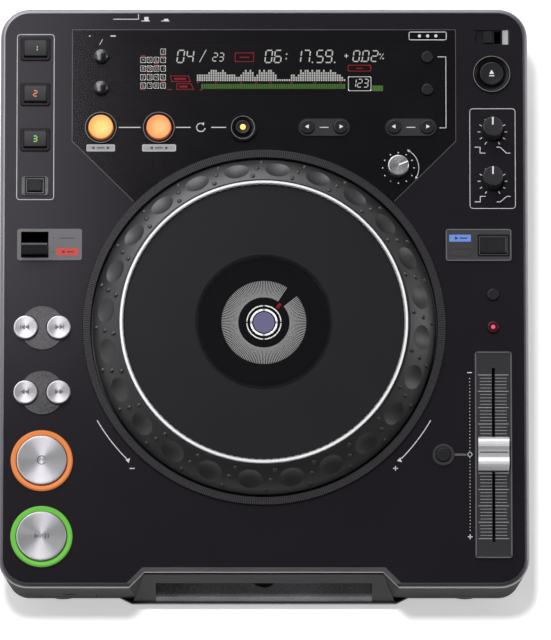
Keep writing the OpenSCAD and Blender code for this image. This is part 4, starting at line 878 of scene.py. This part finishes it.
def mark_cap(key, material, draw):
    """A mark on a key's cap, that rides with the key."""
    mark = open_piece(key + "_mark")
    draw()
    lay_on_panel(mark, key + "_body", material)


for number, v, material in zip("123", hot_cue_v, (lit_green, lit_orange, lit_green)):
    mark_cap(f"hot_cue_key_{number}", material,
             lambda: digit(number, hot_cue_u, v, 3.4, 2.2, 0.55, cue_row_top, 0))


def draw_pair(u, v, way, stop):
    """Two arrow heads, with a stop line for the track keys."""
    arrow(u - 1.3, v, pair_top, 1.75, way)
    arrow(u + 1.3, v, pair_top, 1.75, way)
    if stop:
        bar(u + way * 3.0, v, pair_top, 0.5, 2.9)


for way, name in ((-1, "back"), (1, "next")):
    u = cap_left_u + way * 10
    mark_cap(f"track_{name}_key", mark_grey,
             lambda: draw_pair(u, -0.5, way, True))
    mark_cap(f"search_{name}_key", mark_grey,
             lambda: draw_pair(u, -40.5, way, False))
    for group, middle in (("folder", folder_u), ("call", call_u)):
        mark_cap(f"{group}_{name}_key", mark_white,
                 lambda: arrow(middle + way * 10.1, 123.9, small_pair_top, 1.5, way))

cue_v, play_v = -82.4, -129.0


def draw_play():
    """An arrow head, a stroke and two bars."""
    arrow(-137.4, play_v, play_top, 1.9, 1)
    bar(cap_left_u, play_v, play_top, 3.0, 0.35, 62)
    bar(-131.6, play_v, play_top, 1.0, 3.0)
    bar(-129.8, play_v, play_top, 1.0, 3.0)


def draw_eject():
    """An arrow head over a bar."""
    disc(eject_u, eject_v + 0.6, eject_top, 1.7, 3)
    bar(eject_u, eject_v - 1.4, eject_top, 3.0, 0.6)


mark_cap("play_key", mark_grey, draw_play)
mark_cap("cue_key", mark_grey,
         lambda: arc(cap_left_u, cue_v, cue_top, 2.6, 0.5, 40, 280, 12))
mark_cap("eject_key", mark_white, draw_eject)
mark_cap("loop_exit_key",
         finish("lit loop centre", (0.95, 0.45, 0.10), 0.4, depth=0.0, glow=1.0),
         lambda: disc(loop_exit_u, loop_v, exit_top, 1.7, 20, thick=0.3))
mark_cap("master_tempo_key",
         finish("lit red centre", (0.70, 0.06, 0.10), 0.4, depth=0.0, glow=0.8),
         lambda: disc(right_u, -0.2, tempo_top, 1.2, 16, thick=0.25))

# ---- Light rings ----
# A frosted ring round each large key is lit from below, orange for cue and green for play.
# It stands on the panel, and its shoulders are rounded.


def light_ring(name, v, material):
    """A flat ring with rounded shoulders, raised from its inner edge step by step."""
    inner, outer, high = 15.6, 18.7, 1.8
    section = ((inner, high - 0.4), (inner + 0.5, 0.4), (outer - 0.8, 0.0), (outer, -0.8),
               (outer, 0.8 - high), (inner, 0.0))
    centre = (cap_left_u, v, panel_top)
    ring = open_piece(name)
    bpy.ops.mesh.primitive_circle_add(vertices=96, radius=inner, fill_type="NOTHING",
                                      location=centre)
    radius = inner
    for reach, lift in section:
        bpy.ops.mesh.extrude_edges_move()
        bpy.ops.transform.translate(value=(0, 0, lift))
        bpy.ops.transform.resize(value=(reach / radius, reach / radius, 1), center_override=centre)
        radius = reach
    bpy.ops.mesh.select_all(action="SELECT")
    bpy.ops.mesh.remove_doubles(threshold=0.001)
    bpy.ops.mesh.normals_make_consistent(inside=False)
    lay_on_panel(ring, "deck", material)
    bpy.ops.object.shade_smooth_by_angle(angle=math.radians(40))
    return ring


cue_ring = light_ring("cue_light_ring", cue_v,
                      finish("cue ring orange", (0.55, 0.16, 0.04), 0.45, glow=0.22, depth=0.0,
                             shade=0.05))
play_ring = light_ring("play_light_ring", play_v,
                       finish("play ring green", (0.10, 0.36, 0.04), 0.45, glow=0.22, depth=0.0,
                              shade=0.05))
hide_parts("light_rings")
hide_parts("light_rings")

# ---- Direction and jog mode plates ----
# Each grey plate has two fields beside its lever or key, and the one that holds now glows.
# The fields are printed, with plain signs in place of words.
field_long, field_high = 13.1, 4.3
direction_field = open_piece("direction_lit_field")
bar(-119.05, 46.5, plate_top, field_long, field_high)
lay_on_panel(direction_field, "deck",
             finish("lit red field", (0.40, 0.03, 0.018), 0.5, depth=0.0, glow=0.12))
mode_field = open_piece("jog_mode_lit_field")
bar(118.75, 54.95, plate_top, field_long, field_high)
lay_on_panel(mode_field, "deck",
             finish("lit blue field", (0.09, 0.17, 0.45), 0.5, depth=0.0, glow=0.3))
plate_fields = open_piece("plate_dim_fields")
frame_line(112.2, 125.3, 43.9, 48.2, plate_top, 0.3, 0.5)
line([(129.4, 56.4), (127.2, 55.2), (127.2, 46.0)], plate_top, 0.3)
for v in (55.0, 46.5):
    disc(-127.6, v, plate_top, 0.4, 8)
bar(-119.2, 55.0, plate_top, 9.0, 0.5)
for u, v, way in ((-121.4, 46.5, -1), (116.4, 54.95, 1)):
    arrow(u, v, plate_top + ink_thick, 1.3, way)
    bar(u + 4.4, v, plate_top + ink_thick, 4.6, 0.7)
lay_on_panel(plate_fields, "deck",
             finish("plate line", (0.010, 0.010, 0.011), 0.5, depth=0.0))

# a pale line round the jog mode plate is a painted highlight on its edge
plate_edge_highlight = open_piece("plate_edge_highlight")
frame_line(110.5, 149.5, 41.3, 60.3, plate_top, 0.45, 1.2)
lay_on_panel(plate_edge_highlight, "deck",
             finish("plate edge highlight grey", (0.12, 0.118, 0.123), 0.4, depth=0.0))

# ---- Lever, slider, knobs and fader ----
# The lever is black with a bright ridge, the knobs are black with a white pointer, and
# the fader's cap is silver, with a darker band of painted shade and a dark line across its middle.
paint(key_black, "direction_lever", "lock_slider")
paint(finish("knob black", (0.022, 0.021, 0.023), 0.35, specular=0.3), "brake_knob", "start_knob")
knob_top = 15.55
for name, v in (("brake_knob", brake_v), ("start_knob", start_v)):
    knob_pointer = open_piece(name + "_pointer")
    bar(right_u, v + 3.3, knob_top, 0.9, 4.8, thick=0.6)
    lay_on_panel(knob_pointer, name + "_body", mark_white)
adjust_top, adjust_turn = 8.05, 22
adjust_pointer = open_piece("jog_adjust_pointer")
bar(*around(adjust_u, adjust_v, 3.2, adjust_turn), adjust_top, 5.6, 0.8, adjust_turn, thick=0.6)
lay_on_panel(adjust_pointer, "jog_adjust_knob_body",
             finish("pointer white", (0.85, 0.85, 0.86), 0.4, depth=0.0))
fader_silver = finish("fader silver", (0.86, 0.85, 0.87), 0.38, metallic=0.35, depth=0.0)
# the darker band across the cap is painted shade for its pinched waist
shade_in(fader_silver, patch(fader_silver, right_u, fader_v, 12, 3.4), (0.42, 0.415, 0.425))
paint(fader_silver, "tempo_fader")
fader_line = open_piece("fader_centre_line")
bar(right_u, fader_v, 8.8, 17.0, 0.7, thick=0.05)
lay_on_panel(fader_line, "tempo_fader_body",
             finish("fader line black", (0.02, 0.02, 0.021), 0.5, depth=0.0))
# 51 graduations on each side of the slot, every fifth a longer one
fader_scale = open_piece("fader_scale")
tick_long, tick_step, tick_zero = 8.2, 2.014, -80.0
for i in range(-25, 26):
    shorter, wide = (0.0, 0.42) if i % 5 == 0 else (1.1, 0.3)
    for side in (-1, 1):
        bar(138.5 + side * (5.1 - shorter / 2), tick_zero + i * tick_step, plate_top,
            tick_long - shorter, wide)
lay_on_panel(fader_scale, "deck",
             finish("scale grey", (0.26, 0.26, 0.27), 0.5, depth=0.0))
# the plate's raised frame, and a bar that ties the reset key to the scale
fader_frame = open_piece("fader_frame")
bar(118.3, -78.6, panel_top, 8.0, 1.3, thick=0.3)
frame_line(127.9, 149.3, -141.9, -15.7, plate_top, 0.8, 0.9, thick=0.5)
lay_on_panel(fader_frame, "deck",
             finish("frame grey", (0.085, 0.083, 0.088), 0.4))

# ---- Jog wheel's centre ----
# Behind the window in the wheel's middle, a round display shows a ring of fine rays with
# a gap that turns with the disc, a red marker, and two broken circles round a blue disc.
centre_w = 14.22
ray_count, gap_begin, gap_end = 150, 39, 56
rays = open_piece("jog_display_rays")
for i in range(ray_count):
    angle = 360 * i / ray_count
    if not gap_begin < angle < gap_end:
        bar(*around(0, 0, 20.55, angle), centre_w, 10.1, 0.42, angle)
lay_on_panel(rays, "deck",
             finish("ray grey", (0.62, 0.62, 0.62), 0.5, depth=0.0, glow=2.0))
circles = open_piece("jog_display_circles")
for i in range(4):
    arc(0, 0, centre_w, 10.3, 0.7, 90 * i + 3.5, 83, 14)
    arc(0, 0, centre_w, 7.7, 1.2, 90 * i + 4.5, 81, 12)
lay_on_panel(circles, "deck",
             finish("circle white", (0.8, 0.8, 0.8), 0.5, depth=0.0, glow=2.2))
marker = open_piece("jog_display_marker")
bar(9.0, 10.2, centre_w, 3.4, 1.9, 50)
lay_on_panel(marker, "deck",
             finish("marker red", (0.8, 0.02, 0.03), 0.5, depth=0.0, glow=0.8))
# a pale ring round the wheel's window is a painted highlight on its edge
window_edge_highlight = open_piece("jog_window_edge")
arc(0, 0, 16.2, 40.8, 0.3, 0, 360, 72)
lay_on_panel(window_edge_highlight, "jog",
             finish("window edge highlight grey", (0.045, 0.045, 0.047), 0.3, depth=0.0))
display_disc = open_piece("jog_display_disc")
disc(0, 0, centre_w, 6.4, 48)
lay_on_panel(display_disc, "deck",
             finish("display lavender", (0.30, 0.28, 0.52), 0.5, depth=0.0, glow=1.6))

# ---- Ribs of the trim ring ----
# Fine radial ribs run round the flat of the trim ring, cut by a knurling tool. They are
# coloured paler than the ring, a painted highlight for the light they catch, so the ring
# looks finely ruled.
ribs = open_piece("trim_ring_ribs")
rib_count = 600
bpy.ops.mesh.primitive_cube_add(size=1, location=(107.3, 0, 1.7), scale=(4.4, 0.55, 0.4))
bpy.ops.mesh.select_all(action="SELECT")
bpy.ops.mesh.spin(steps=rib_count, dupli=True, angle=math.tau, center=(0, 0, 0), axis=(0, 0, 1))
bpy.ops.mesh.select_all(action="SELECT")
bpy.ops.mesh.remove_doubles(threshold=0.001)
lay_on_panel(ribs, "deck",
             finish("rib painted highlight", (0.045, 0.043, 0.047), 0.4, specular=0.3))
